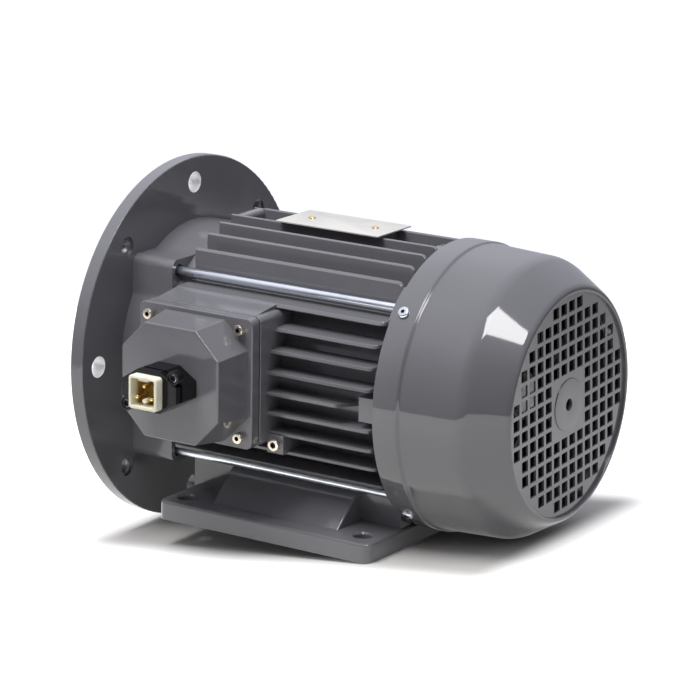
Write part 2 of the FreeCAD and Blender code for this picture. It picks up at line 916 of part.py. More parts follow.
def add_fins(body):
    """Upright fins on top, level fins on both sides, then all tips trimmed to one circle."""
    start = half(s.frame_bore) * FIN_ROOT_SHARE
    end = fin_reach + s.fin_corner
    outermost = -FIN_STEPS * fin_pitch
    upright = sketch_on(body, "YZ_Plane", fin_front)
    add_loop(upright, fin_outline(outermost, start, end))
    add_loop(upright, fin_outline(1 * fin_pitch, start, end))
    fins = pad(body, upright, fin_rear - fin_front)
    in_row(body, [fins], "Y_Axis", (FIN_STEPS - 1) * fin_pitch, FIN_STEPS)
    level = sketch_on(body, "YZ_Plane", fin_front)
    for side in SIDES:
        add_loop(level, [(side * along, across) for across, along in fin_outline(outermost, start, end)])
    fins = pad(body, level, fin_rear - fin_front)
    in_row(body, [fins], "Z_Axis", 2 * FIN_STEPS * fin_pitch, 2 * FIN_STEPS + 1)
    beyond = 2 * fin_reach
    groove(body, [(fin_front - 1, fin_reach), (fin_rear - s.fin_corner, fin_reach, -s.fin_corner),
                  (fin_rear, fin_reach - s.fin_corner), (fin_rear + 1, fin_reach - s.fin_corner),
                  (fin_rear + 1, beyond), (fin_front - 1, beyond)])
    fillet(body, s.fin_tip_round, lambda edge: runs_along(edge, EAST)
           and near(math.hypot(edge.CenterOfMass.y, edge.CenterOfMass.z), fin_reach))


def add_terminal_base(body):
    """Square base with corner posts for the lid's screws, a lead hole and the earth lug beside it."""
    sketch = sketch_on(body, "XZ_Plane", box_root)
    add_loop(sketch, rounded(s.box_length, box_middle, s.box_width, s.box_height, s.box_corner))
    pad(body, sketch, box_face - box_root)
    fillet(body, s.box_edge, lambda edge: all(near(point.Point.y, -box_face) for point in edge.Vertexes))
    add_flare(body)
    sketch = sketch_on(body, "XZ_Plane", box_root)
    level = earth_place[1]
    add_loop(sketch, rectangle(box_right - 1, box_right + s.earth_lug_length,
                               level - half(s.earth_lug_width), level + half(s.earth_lug_width)))
    pad(body, sketch, earth_face - box_root)
    sketch = sketch_on(body, "XZ_Plane", earth_face)
    add_circle(sketch, earth_place, s.earth_screw + 2 * s.fit_gap)
    pocket(body, sketch, s.earth_screw_grip + 1)
    sketch = sketch_on(body, "XZ_Plane", box_face)
    add_loop(sketch, octagon(s.box_length - 2 * s.box_wall, box_middle, s.box_width - 2 * s.box_wall,
                             s.box_height, s.box_post, s.box_post))
    pocket(body, sketch, box_face - box_floor)
    sketch = sketch_on(body, "XZ_Plane", box_face)
    for place in lid_corners():
        add_circle(sketch, place, s.lid_screw + 2 * s.fit_gap)
    pocket(body, sketch, s.lid_screw_grip + 1)
    sketch = sketch_on(body, "XZ_Plane", box_face)
    left = box_left + 2 * s.box_wall
    add_loop(sketch, rectangle(left, left + s.lead_hole_length, s.box_height - half(s.lead_hole_width),
                               s.box_height + half(s.lead_hole_width)))
    pocket(body, sketch, box_face - box_root)


def add_flare(body):
    """Slope on the base's top that runs up to the fin above it."""
    roof = s.box_height + half(s.box_width)
    front, back = s.box_flare_set - box_face, s.box_flare_depth - box_face
    sketch = sketch_on(body, "YZ_Plane", box_left + s.box_corner)
    add_loop(sketch, [(front, roof - 1), (back, roof - 1), (back, roof + s.box_flare_rise), (front, roof)])
    pad(body, sketch, s.box_length - 2 * s.box_corner)


def add_platform(body):
    """Block under the nameplate with its rivet holes, and the wall that closes the middle channel."""
    base = half(s.frame_bore)
    sketch = sketch_on(body, "XY_Plane", base)
    add_loop(sketch, centred(s.platform_length, plate_middle, s.platform_width, 0))
    pad(body, sketch, plate_height - base)
    sketch = sketch_on(body, "XZ_Plane")
    rear, top, corner = fin_front + s.end_wall, fin_reach - 1, s.end_wall_round
    add_loop(sketch, [(fin_front, base), (rear, base), (rear, top - corner, corner), (rear - corner, top),
                      (fin_front + corner, top, corner), (fin_front, top - corner)])
    pad(body, sketch, 2 * fin_pitch, middle=True)
    sketch = sketch_on(body, "XY_Plane", plate_height)
    for side in SIDES:
        add_circle(sketch, (plate_middle + side * half(s.rivet_spacing), 0), s.rivet_shank + 2 * s.fit_gap)
    pocket(body, sketch, s.rivet_length + 1)


def clear_tongues(body):
    """Cut the middle side fins short and notch the rear lip for the rear shield's tongues."""
    outer = fin_reach + s.fin_corner
    floor = barrel_radius + s.saddle_gap
    start = fin_rear - s.fin_cut_length
    width = s.tongue_width + 3 * s.saddle_gap
    sketch = sketch_on(body, "XY_Plane")
    for side in SIDES:
        add_loop(sketch, [(start, side * outer), (frame_rear + 1, side * outer), (frame_rear + 1, side * floor),
                          (start + s.fin_cut_slope, side * floor)])
    pocket(body, sketch, width, middle=True)
    sketch = sketch_on(body, "XZ_Plane")
    add_loop(sketch, rectangle(frame_rear - s.tongue_length - 1, frame_rear + 1, floor, outer))
    pocket(body, sketch, width, middle=True)


def foot_casting():
    """Two rails and a ribbed saddle that carry the frame at the shaft height."""
    body = new_body("foot_saddle")
    sketch = sketch_on(body, "YZ_Plane", foot_front)
    add_loop(sketch, rectangle(-half(s.foot_width), half(s.foot_width), -s.shaft_height, foot_top))
    pad(body, sketch, foot_rear - foot_front)
    fillet(body, s.foot_corner, lambda edge: runs_along(edge, UP))
    fillet(body, s.foot_top_round, lambda edge: near(edge.BoundBox.ZMin, foot_top))
    sketch = sketch_on(body, "YZ_Plane", foot_front)
    add_loop(sketch, rectangle(-foot_body, foot_body, -s.shaft_height, -foot_body))
    pad(body, sketch, frame_rear - s.foot_body_gap - foot_front)
    low, wide, high = foot_top, half(s.buttress_width), -rod_at - s.buttress_drop
    sketch = sketch_on(body, "YZ_Plane", foot_middle - half(s.buttress_length))
    add_loop(sketch, [(-wide, low - 1), (wide, low - 1), (wide, low), (foot_body, high), (-foot_body, high),
                      (-wide, low)])
    pad(body, sketch, s.buttress_length)
    fillet(body, s.buttress_round, slopes_down)
    cut_saddle(body)
    cut_foot_holes(body)
    keep(body, "foot_casting")


def cut_saddle(body):
    """Clear the barrel and its end lips."""
    barrel = barrel_radius + s.saddle_gap
    lip = drum_radius + s.saddle_gap
    rear_lip = frame_rear - s.lip_length
    groove(body, [(foot_front - 1, 0), (foot_front - 1, lip), (fin_front + s.saddle_gap, lip),
                  (fin_front + s.saddle_gap, barrel), (rear_lip - s.saddle_gap, barrel),
                  (rear_lip - s.saddle_gap, lip), (frame_rear + 5, lip), (frame_rear + 5, 0)])


def cut_foot_holes(body):
    """Bolt holes in the pads, pockets under the saddle and the holes of the screws in them."""
    sketch = sketch_on(body, "XY_Plane", foot_top)
    for along in (foot_front + s.foot_hole_inset, foot_rear - s.foot_hole_rear_inset):
        for side in SIDES:
            add_circle(sketch, (along, side * (half(s.foot_width) - s.foot_hole_edge)), s.foot_hole)
    pocket(body, sketch, s.foot_thickness)
    sketch = sketch_on(body, "XY_Plane", -s.shaft_height)
    for side in SIDES:
        add_loop(sketch, centred(s.foot_pocket_length, foot_screw_front,
                                 s.foot_pocket_width, side * half(s.foot_screws_across)))
    pockets = pocket(body, sketch, s.shaft_height + foot_roof, reverse=True)
    in_row(body, [pockets], "X_Axis", foot_screws_along, 4)
    sketch = sketch_on(body, "XY_Plane", -s.shaft_height)
    for place in foot_screw_places():
        add_circle(sketch, place, s.foot_screw + 2 * s.saddle_gap)
    pocket(body, sketch, s.shaft_height - foot_body, reverse=True)
    top = number(foot_top)
    chamfer(body, s.foot_edge, lambda edge: isinstance(edge.Curve, Part.Circle) and near(edge.CenterOfMass.z, top)
            and near(2 * edge.Curve.Radius, s.foot_hole))


def nondrive_end_shield():
    """Rear shield with the tail bearing's hub, four rod lugs and three tongues that centre the cowl."""
    body = new_body("shield_rear")
    hub = bearing_seat + s.tail_hub_wall
    hub_front = frame_rear - s.tail_hub_front
    hub_rear = frame_rear + s.tail_hub_rear
    register = frame_rear - s.register_depth
    revolve(body, [(hub_front, 0), (hub_front, hub), (register, hub), (register, shield_register),
                   (frame_rear, shield_register), (frame_rear, drum_radius), (tail_rear, drum_radius),
                   (tail_rear, hub), (hub_rear, hub), (hub_rear, 0)])
    sketch = sketch_on(body, "YZ_Plane", frame_rear)
    square = rod_at + s.lug_reach
    add_loop(sketch, rectangle(-square, square, -square, square))
    pad(body, sketch, s.tail_thickness)
    lug = cowl_radius - s.cowl_sheet - s.lug_gap
    groove(body, [(register, lug), (hub_rear, lug), (hub_rear, 2 * lug), (register, 2 * lug)])
    add_tongues(body)
    web_front = frame_rear + s.tail_web_front
    web_rear = web_front + s.tail_web
    rim = shield_register - s.tail_rim / 2
    groove(body, [(register - 1, hub), (web_front, hub), (web_front, rim), (register - 1, rim)])
    groove(body, [(web_rear, hub), (hub_rear, hub), (hub_rear, rim), (web_rear, rim)])
    seat_rear = tail_bearing_rear + s.preload_thickness
    neck = half(s.bearing_bore) + 1
    groove(body, [(hub_front - 1, 0), (hub_front - 1, bearing_seat), (seat_rear, bearing_seat), (seat_rear, neck),
                  (hub_rear + 1, neck), (hub_rear + 1, 0)])
    sketch = sketch_on(body, "YZ_Plane", tail_rear)
    add_circle(sketch, (rod_at, rod_at), s.rod_diameter + 3 * s.saddle_gap)
    around(body, pocket(body, sketch, s.tail_thickness), 4)
    drill = cylinder("tail_drill", s.cowl_screw + 2 * s.fit_gap, 2 * s.cowl_screw_length, UP,
                     (cowl_screw_place, 0, cowl_radius - s.cowl_screw_length - 1))
    drills = turned("tail_drills", drill, quarters(45 + s.cowl_turn))
    keep(cut("rear_shield", body, drills), "nondrive_end_shield")


def add_tongues(body):
    """Tabs that reach forward over the barrel at both sides and on top."""
    wide = half(s.tongue_width)
    root = barrel_radius + s.tongue_gap
    reach = barrel_radius + s.tongue_height
    sketch = sketch_on(body, "YZ_Plane", frame_rear - s.tongue_length)
    for side in SIDES:
        inner, outer = side * root, side * reach
        add_loop(sketch, [(inner, -wide), (outer, -wide), (outer, wide), (inner, wide)])
    add_loop(sketch, rectangle(-wide, wide, root, reach))
    pad(body, sketch, s.tongue_length + s.tail_thickness - s.tail_web_front)


def tie_rods():
    start = boss_rear - s.rod_thread
    end = tail_rear + s.nut_height + s.rod_tail
    rod = cylinder("rod", s.rod_diameter, end - start, EAST, (start, rod_at, rod_at))
    keep(turned("rods", rod, quarters()), "tie_rods")
    nut = hexagon("nut_blank", s.nut_width, s.nut_height, EAST, (tail_rear, rod_at, rod_at))
    hole = cylinder("nut_hole", s.rod_diameter + 2 * s.fit_gap, s.nut_height, EAST, (tail_rear, rod_at, rod_at))
    keep(turned("nuts", cut("nut", nut, hole), quarters()), "tie_rod_nuts")


# Cowl and fan


def fan_cowl():
    """Spun sheet cover with a stepped band, a tapered shoulder and a grille of square holes."""
    body = new_body("cowl_sheet")
    sheet = s.cowl_sheet
    band = cowl_front + s.cowl_band
    step = band + s.cowl_step
    wide, waist, grille = cowl_radius, cowl_waist, grille_radius
    crest = grille_face + s.rim_height
    rim = grille + s.rim_width
    disc = grille_face + s.grille_disc_height
    hole = half(s.grille_centre_hole)
    back = grille_face - sheet
    revolve(body, [(cowl_front, wide), (band, wide), (step, waist), (cowl_shoulder, shoulder_radius),
                   (grille_face, rim + s.rim_slope), (crest, rim), (crest, grille), (grille_face, grille),
                   (grille_face, half(s.grille_disc)), (disc, half(s.grille_disc)), (disc, hole), (back, hole),
                   (back, rim + s.rim_slope - sheet * 0.6), (cowl_shoulder - sheet * 0.3, shoulder_radius - sheet),
                   (step, waist - sheet), (band, wide - sheet), (cowl_front, wide - sheet)])
    fillet(body, s.cowl_shoulder_round, lambda edge: ring_edge(edge, cowl_shoulder, 2 * shoulder_radius))
    bead = ((band, 2 * wide), (step, 2 * waist))
    lip = ((crest, 2 * rim), (crest, 2 * grille))
    fillet(body, s.cowl_step_round, lambda edge: any(ring_edge(edge, *ring) for ring in bead))
    fillet(body, s.rim_round, lambda edge: any(ring_edge(edge, *ring) for ring in lip))
    punch = box("grille_punch", (3 * sheet, s.grille_hole, s.grille_hole), (back - sheet, 0, 0))
    punches = shifted("grille_punches", punch, grille_places())
    open_cowl = cut("open_cowl", body, punches)
    drill = cylinder("cowl_drill", s.cowl_screw + 2 * s.saddle_gap, 4 * sheet, UP,
                     (cowl_screw_place, 0, wide - 2 * sheet))
    drills = turned("cowl_drills", drill, quarters(45))
    cowl = cut("cowl", open_cowl, drills)
    cowl.Placement = Placement(Vector(), Rotation(EAST, 1))
    bind(cowl, "Placement.Rotation.Angle", s.cowl_turn)
    keep(cowl, "fan_cowl")
    screw = turned_screw("cowl_screw", s.cowl_screw, s.cowl_screw_head, s.cowl_screw_head_height,
                         s.cowl_screw_length, UP, (cowl_screw_place, 0, wide))
    keep(turned("cowl_screw_set", screw, quarters(45 + s.cowl_turn)), "cowl_screws")


def grille_places():
    """Lower corners of the grille's square holes: a grid inside a circle with its middle left closed."""
    count = int(number(s.grille_rows))
    middle = number(s.grille_middle) / 2
    reach = number(grille_radius - s.grille_edge) / number(s.grille_pitch)
    steps = [step - (count - 1) / 2 for step in range(count)]
    places = []
    for row in steps:
        for column in steps:
            in_middle = abs(row) < middle and abs(column) < middle
            if math.hypot(row, column) <= reach and not in_middle:
                places.append((0, column * s.grille_pitch - half(s.grille_hole),
                               row * s.grille_pitch - half(s.grille_hole)))
    return places


def fan():
    """Radial fan: hub, back disc and straight blades with a sloped outer edge."""
    body = new_body("fan_wheel")
    hub = fan_seat + s.fan_hub_wall
    bore = fan_seat + s.fit_gap
    end = fan_front + s.fan_hub_length
    disc_front = fan_front + s.fan_disc_setback
    disc_rear = disc_front + s.fan_disc_thickness
    tip = cowl_waist - s.cowl_sheet - s.fan_tip_gap
    disc = tip - s.fan_disc_step
    revolve(body, [(fan_front, bore), (fan_front, hub), (disc_front, hub), (disc_front, disc),
                   (disc_rear, disc), (disc_rear, hub), (end, hub), (end, bore)])
    sketch = sketch_on(body, "XY_Plane")
    inner = hub - 1
    reach = disc_front + s.fan_blade_reach
    add_loop(sketch, [(disc_front, inner), (disc_front + s.fan_blade_reach / 2, inner),
                      (reach, half(s.fan_blade_shoulder)), (reach, tip - half(s.fan_blade_edge)),
                      (disc_front + s.fan_blade_edge, tip), (disc_front, tip)])
    around(body, pad(body, sketch, s.fan_blade, middle=True), s.fan_blades)
    keep(body, "fan")
    snap_ring("fan_circlip", end, fan_seat - half(s.circlip_depth) + s.fit_gap, fan_seat + s.circlip_band)


def snap_ring(label, place, inner, outer):
    """Open retaining ring with its opening at the bottom."""
    body = new_body(f"{label}_ring")
    rear = place + s.circlip_width
    revolve(body, [(place, inner), (rear, inner), (rear, outer), (place, outer)])
    sketch = sketch_on(body, "YZ_Plane", rear)
    wide = half(s.circlip_opening)
    add_loop(sketch, rectangle(-wide, wide, -outer - 1, -inner / 2))
    pocket(body, sketch, s.circlip_width)
    keep(body, label)


# Shaft line


def shaft():
    """Stepped shaft with a keyway, a centre hole and a ring groove behind the fan."""
    body = new_body("shaft_blank")
    drive = half(s.shaft_diameter)
    front = -s.shaft_length
    seat = half(s.bearing_bore)
    bearing_rear = s.drive_bearing_front + s.bearing_width
    clip = fan_front + s.fan_hub_length
    clip_rear = clip + s.circlip_width + 2 * s.fit_gap
    clip_floor = fan_seat - half(s.circlip_depth)
    end = clip_rear + s.shaft_tail
    hole = half(s.centre_hole)
    hole_end = front + s.centre_hole_depth
    ring = core_front - s.end_ring
    ring_rear = core_rear + s.end_ring
    revolve(body, [(hole_end, 0), (hole_end, hole), (front + s.shaft_chamfer, hole),
                   (front, hole + s.shaft_chamfer), (front, drive - s.shaft_chamfer),
                   (front + s.shaft_chamfer, drive), (0, drive), (0, seat), (bearing_rear, seat),
                   (bearing_rear, shoulder), (ring, shoulder), (ring, core_seat), (ring_rear, core_seat),
                   (ring_rear, shoulder), (tail_bearing_front, shoulder), (tail_bearing_front, seat),
                   (tail_bearing_rear + 1, seat), (tail_bearing_rear + 1, tail_seat), (fan_front, tail_seat),
                   (fan_front, fan_seat), (clip, fan_seat), (clip, clip_floor), (clip_rear, clip_floor),
                   (clip_rear, fan_seat), (end - s.shaft_chamfer, fan_seat),
                   (end, fan_seat - s.shaft_chamfer), (end, 0)])
    key_rear = -s.key_end_gap - half(s.key_width)
    key_front = -s.key_end_gap - s.key_length + half(s.key_width)
    ends = [(key_front, 0), (key_rear, 0)]
    round_ended(pocket, body, ("XY_Plane", drive), ends, s.key_width + 2 * s.fit_gap, s.keyway_depth)
    keep(body, "shaft")
    key = new_body("key_blank")
    round_ended(pad, key, ("XY_Plane", drive - s.keyway_depth), ends, s.key_width, s.key_height)
    keep(key, "shaft_key")


def round_ended(make, body, place, ends, width, depth):
    """Bar or slot with round ends: a strip between two points of a row, then a circle at each of them."""
    wide = half(width)
    (left, low), (right, high) = ends
    along = not isinstance(low, Size)
    strip = rectangle(left, right, -wide, wide) if along else rectangle(-wide, wide, low, high)
    for outline in (strip, ends):
        sketch = sketch_on(body, *place)
        if outline is strip:
            add_loop(sketch, strip)
        else:
            for end in ends:
                add_circle(sketch, end, width)
        make(body, sketch, depth)


def bearing(end, front):
    """Deep-groove ball bearing as two rings, a ball set and its cage."""
    middle = front + half(s.bearing_width)
    rear = front + s.bearing_width
    rings = {"outer": (outer_land, half(s.bearing_outside)),
             "inner": (half(s.bearing_bore) + s.fit_gap, inner_land)}
    for ring, (low, high) in rings.items():
        body = new_body(f"{end}_{ring}_ring")
        revolve(body, [(front, low), (rear, low), (rear, high), (front, high)])
        sketch = sketch_on(body, "XY_Plane")
        add_circle(sketch, (middle, race_radius), s.bearing_groove)
        race = body.newObject("PartDesign::Groove", f"{body.Name}_race")
        race.Profile = sketch
        race.ReferenceAxis = (origin_item(body, "X_Axis"), [""])
        race.Angle = 360
        keep(body, f"{end}_bearing_{ring}")
    angles = [360 / int(number(s.ball_count)) * step for step in range(int(number(s.ball_count)))]
    ball = sphere(f"{end}_ball", s.ball_diameter, (middle, 0, race_radius))
    keep(turned(f"{end}_ball_ring", ball, angles), f"{end}_bearing_balls")
    band = new_body(f"{end}_cage_band")
    low, high = race_radius - half(s.cage_thickness), race_radius + half(s.cage_thickness)
    left, right = middle - half(s.cage_width), middle + half(s.cage_width)
    revolve(band, [(left, low), (right, low), (right, high), (left, high)])
    window = sphere(f"{end}_window", s.ball_diameter + 2 * s.cage_gap, (middle, 0, race_radius))
    keep(cut(f"{end}_cage", band, turned(f"{end}_windows", window, angles)), f"{end}_bearing_cage")


def sphere(name, diameter, place):
    item = doc.addObject("Part::Sphere", name)
    bind(item, "Radius", half(diameter))
    move(item, place)
    return item


def bearing_fittings():
    """Seal in front of the drive bearing, its circlip, and the washer that preloads the tail bearing."""
    body = new_body("seal_ring")
    outer = seal_outside
    inner = outer - s.seal_wall
    front = s.seal_front
    face = front + s.seal_wall
    lip = half(s.bearing_bore) + s.seal_lip_gap
    rear = front + s.seal_width
    lip_rear = rear - s.seal_wall
    revolve(body, [(front, outer), (rear, outer), (rear, inner), (face, inner), (face, lip + 2 * s.seal_wall),
                   (lip_rear, lip + s.seal_wall), (lip_rear, lip), (lip_rear - s.seal_wall, lip),
                   (front, lip + s.seal_wall)])
    keep(body, "shaft_seal")
    snap_ring("bearing_circlip", s.drive_bearing_front + s.bearing_width, bearing_seat - s.circlip_band,
              bearing_seat + s.circlip_depth - s.fit_gap)
    washer = new_body("preload_ring")
    high = half(s.bearing_outside) - s.saddle_gap
    low = high - s.preload_band
    end = tail_bearing_rear + s.preload_thickness
    revolve(washer, [(tail_bearing_rear, low), (end, low), (end, high), (tail_bearing_rear, high)])
    keep(washer, "preload_washer")


# Electrical parts


def stator():
    """Laminated stack with half-closed slots, and the winding in them."""
    body = new_body("stator_stack")
    bore = half(s.stator_bore)
    sketch = sketch_on(body, "YZ_Plane", core_front)
    add_circle(sketch, (0, 0), s.frame_bore - 2 * s.fit_gap)
    add_circle(sketch, (0, 0), s.stator_bore)
    pad(body, sketch, core_length)
    wide, mouth = half(s.slot_width), half(s.slot_mouth)
    lip, floor = bore + s.slot_lip, bore + s.slot_depth
    sketch = sketch_on(body, "YZ_Plane", core_rear)
    add_loop(sketch, [(-mouth, bore - 1), (mouth, bore - 1), (mouth, lip), (wide, lip), (wide, floor),
                      (-wide, floor), (-wide, lip), (-mouth, lip)])
    around(body, pocket(body, sketch, core_length), s.slot_count)
    keep(body, "stator_core")
    wind(lip + s.slot_liner, floor - s.slot_liner, wide - s.slot_liner)


def wind(low, high, wide):
    """Copper in the slots, joined by a rounded bundle of end turns at both ends."""
    body = new_body("winding_copper")
    top = high + s.end_turn_bulge
    bevel = s.end_turn_bevel
    for face, way in ((core_front, -1), (core_rear, 1)):
        far = face + way * s.end_turn
        revolve(body, [(face, low), (face, high), (face + way * bevel, top), (far - way * bevel, top),
                       (far, top - bevel), (far, low + bevel), (far - way * bevel, low)])
        if way < 0:
            sketch = sketch_on(body, "YZ_Plane", core_front)
            add_loop(sketch, rectangle(-wide, wide, low, high))
            around(body, pad(body, sketch, core_length), s.slot_count)
    keep(body, "stator_winding")


def rotor():
    """Laminated rotor with closed slots and the cage cast into it."""
    body = new_body("rotor_stack")
    outside = half(s.stator_bore) - s.air_gap
    sketch = sketch_on(body, "YZ_Plane", core_front)
    add_circle(sketch, (0, 0), 2 * outside)
    add_circle(sketch, (0, 0), 2 * core_seat + 2 * s.fit_gap)
    pad(body, sketch, core_length)
    high = outside - s.bar_bridge
    low = high - s.bar_depth
    wide = half(s.bar_width)
    sketch = sketch_on(body, "YZ_Plane", core_rear)
    add_loop(sketch, rectangle(-wide, wide, low, high))
    around(body, pocket(body, sketch, core_length), s.bar_count)
    keep(body, "rotor_core")
    cage = new_body("cage_casting")
    gap = s.bar_gap
    for face, way in ((core_front, -1), (core_rear, 1)):
        far = face + way * s.end_ring
        revolve(cage, [(face, low - s.end_ring_lip), (face, high + gap), (far, high + gap),
                       (far, low - s.end_ring_lip)])
        if way < 0:
            sketch = sketch_on(cage, "YZ_Plane", core_front)
            add_loop(sketch, rectangle(gap - wide, wide - gap, low + gap, high - gap))
            around(cage, pad(cage, sketch, core_length), s.bar_count)
    keep(cage, "rotor_cage")


# Terminal box fittings


def terminal_lid():
    """Domed octagon on a square plate, hollow, with its gasket."""
    body = new_body("lid_shell")
    sketch = sketch_on(body, "XZ_Plane", gasket_face)
    add_loop(sketch, centred(s.box_length, box_middle, s.box_width, s.box_height))
    pad(body, sketch, s.lid_plate)
    fillet(body, s.box_corner, lambda edge: runs_along(edge, OUT))
    fillet(body, s.lid_plate_edge, lambda edge: near(edge.BoundBox.YMax, -lid_step))
    cut_back = s.lid_chamfer
    lower = sketch_on(body, "XZ_Plane", lid_step)
    add_loop(lower, octagon(lid_base_length, box_middle, lid_base_width, s.box_height, cut_back, cut_back))
    upper = sketch_on(body, "XZ_Plane", lid_front)
    add_loop(upper, octagon(lid_top_length, box_middle, lid_top_width, s.box_height, cut_back, cut_back))
    loft(body, "PartDesign::AdditiveLoft", lower, upper)
    fillet(body, s.lid_edge, lambda edge: edge.CenterOfMass.y < -number(lid_step) - 1)
    thin = 2 * s.lid_wall
    lower = sketch_on(body, "XZ_Plane", gasket_face)
    add_loop(lower, octagon(lid_base_length - thin, box_middle, lid_base_width - thin, s.box_height,
                            cut_back, cut_back))
    upper = sketch_on(body, "XZ_Plane", lid_front - s.lid_wall)
    add_loop(upper, octagon(lid_top_length - thin, box_middle, lid_top_width - thin, s.box_height,
                            cut_back, cut_back))
    loft(body, "PartDesign::SubtractiveLoft", lower, upper)
    sketch = sketch_on(body, "XZ_Plane", lid_step)
    for place in lid_corners():
        add_circle(sketch, place, s.lid_screw + 2 * s.saddle_gap)
    pocket(body, sketch, s.lid_plate)
    sketch = sketch_on(body, "XZ_Plane", lid_front)
    add_circle(sketch, (box_middle, s.box_height), s.plug_wire_hole)
    pocket(body, sketch, 2 * s.lid_wall)
    keep(body, "terminal_lid")
    gasket()
    screw = turned_screw("lid_screw", s.lid_screw, s.lid_screw_head, s.lid_screw_head_height,
                         s.lid_screw_grip + s.gasket_thickness + s.lid_plate, OUT, (0, -lid_step, 0))
    keep(shifted("lid_screw_set", screw, [(x, 0, z) for x, z in lid_corners()]), "lid_screws")


def loft(body, kind, lower, upper):
    feature = body.newObject(kind, f"{body.Name}_loft")
    feature.Profile = lower
    feature.Sections = [upper]
    feature.Ruled = True
    return feature


def gasket():
    body = new_body("gasket_sheet")
    sketch = sketch_on(body, "XZ_Plane", box_face)
    add_loop(sketch, centred(s.box_length - 1, box_middle, s.box_width - 1, s.box_height))
    pad(body, sketch, s.gasket_thickness)
    fillet(body, s.box_corner, lambda edge: runs_along(edge, OUT))
    sketch = sketch_on(body, "XZ_Plane", gasket_face)
    add_loop(sketch, octagon(s.box_length - 2 * s.box_wall - 1, box_middle, s.box_width - 2 * s.box_wall - 1,
                             s.box_height, s.box_post, s.box_post))
    pocket(body, sketch, s.gasket_thickness)
    sketch = sketch_on(body, "XZ_Plane", gasket_face)
    for place in lid_corners():
        add_circle(sketch, place, s.lid_screw + 2 * s.saddle_gap)
    pocket(body, sketch, s.gasket_thickness)
    keep(body, "lid_gasket")


def connector():
    """Flange-mounted plug connector on the lid: housing, insert, pins and two screws."""
    body = new_body("plug_shell")
    waist_step = 2 * s.plug_waist_step
    lengths = (s.plug_depth - s.plug_collar - s.plug_waist, s.plug_waist, s.plug_collar)
    place = lid_front
    for length, step in zip(lengths, (0 * waist_step, waist_step, 0 * waist_step)):
        sketch = sketch_on(body, "XZ_Plane", place)
        add_loop(sketch, octagon(s.plug_length - step, box_middle, s.plug_width - step, s.box_height,
                                 s.plug_chamfer_length, s.plug_chamfer_width))
        pad(body, sketch, length)
        place = place + length
    fillet(body, s.plug_edge, lambda edge: runs_along(edge, OUT))
    fillet(body, s.plug_edge, lambda edge: near(edge.BoundBox.YMax, -plug_front))
    add_lobes(body)
    seat = s.insert_width + 2 * s.fit_gap
    sketch = sketch_on(body, "XZ_Plane", plug_front)
    add_loop(sketch, rounded(seat, box_middle, seat, s.box_height, s.insert_corner))
    pocket(body, sketch, plug_front - insert_back)
    sketch = sketch_on(body, "XZ_Plane", plug_front)
    add_circle(sketch, (box_middle, s.box_height), s.plug_wire_hole)
    pocket(body, sketch, s.plug_depth)
    keep(body, "connector_housing")
    screw = turned_screw("plug_screw", s.plug_screw, s.plug_screw_head, s.plug_screw_head_height,
                         s.lobe_depth - s.plug_screw_depth, OUT, (0, s.plug_screw_depth - lobe_front, 0))
    keep(shifted("plug_screw_set", screw, [(x, 0, z) for x, z in plug_screw_places()]), "connector_screws")
    connector_insert()


def add_lobes(body):
    """Round lobes on one diagonal of the collar, bored for the insert's screws."""
    sketch = sketch_on(body, "XZ_Plane", lobe_front - s.lobe_depth)
    for place in plug_screw_places():
        add_circle(sketch, place, s.lobe_width)
    pad(body, sketch, s.lobe_depth)
    passage = s.plug_screw + 2 * s.fit_gap
    for diameter, depth in ((s.plug_screw_pocket, s.plug_screw_depth), (passage, s.lobe_depth)):
        sketch = sketch_on(body, "XZ_Plane", lobe_front)
        for place in plug_screw_places():
            add_circle(sketch, place, diameter)
        pocket(body, sketch, depth)


def connector_insert():
    """Ivory insert with a key rib and an earth post, and the pins in its floor."""
    body = new_body("insert_shell")
    sketch = sketch_on(body, "XZ_Plane", insert_back)
    add_loop(sketch, rounded(s.insert_width, box_middle, s.insert_width, s.box_height, s.insert_corner))
    pad(body, sketch, s.insert_depth)
    fillet(body, s.insert_edge, lambda edge: near(edge.BoundBox.YMax, -insert_front))
    inside = s.insert_width - 2 * s.insert_wall
    roof = s.box_height + half(inside)
    depth = s.insert_depth - s.insert_floor
    sketch = sketch_on(body, "XZ_Plane", insert_front)
    add_loop(sketch, rounded(inside, box_middle, inside, s.box_height, half(s.insert_corner)))
    pocket(body, sketch, depth)
    sketch = sketch_on(body, "XZ_Plane", insert_base)
    add_loop(sketch, rectangle(box_middle - half(s.insert_key_width), box_middle + half(s.insert_key_width),
                               roof - s.insert_key_height, roof + half(s.insert_wall)))
    pad(body, sketch, depth - s.insert_edge)
    pin_length = depth - s.pin_set
    sketch = sketch_on(body, "XZ_Plane", insert_base)
    add_circle(sketch, (box_middle, s.box_height - s.post_drop), s.post_width)
    pad(body, sketch, pin_length - s.insert_edge)
    sketch = sketch_on(body, "XZ_Plane", insert_base)
    for place in pin_places():
        add_circle(sketch, place, s.pin_diameter + 2 * s.fit_gap)
    pocket(body, sketch, s.insert_floor)
    keep(body, "connector_insert")
    pin = cylinder("pin", s.pin_diameter, s.insert_floor + pin_length, OUT, (0, -insert_back, 0))
    keep(shifted("pin_set", pin, [(x, 0, z) for x, z in pin_places()]), "connector_pins")


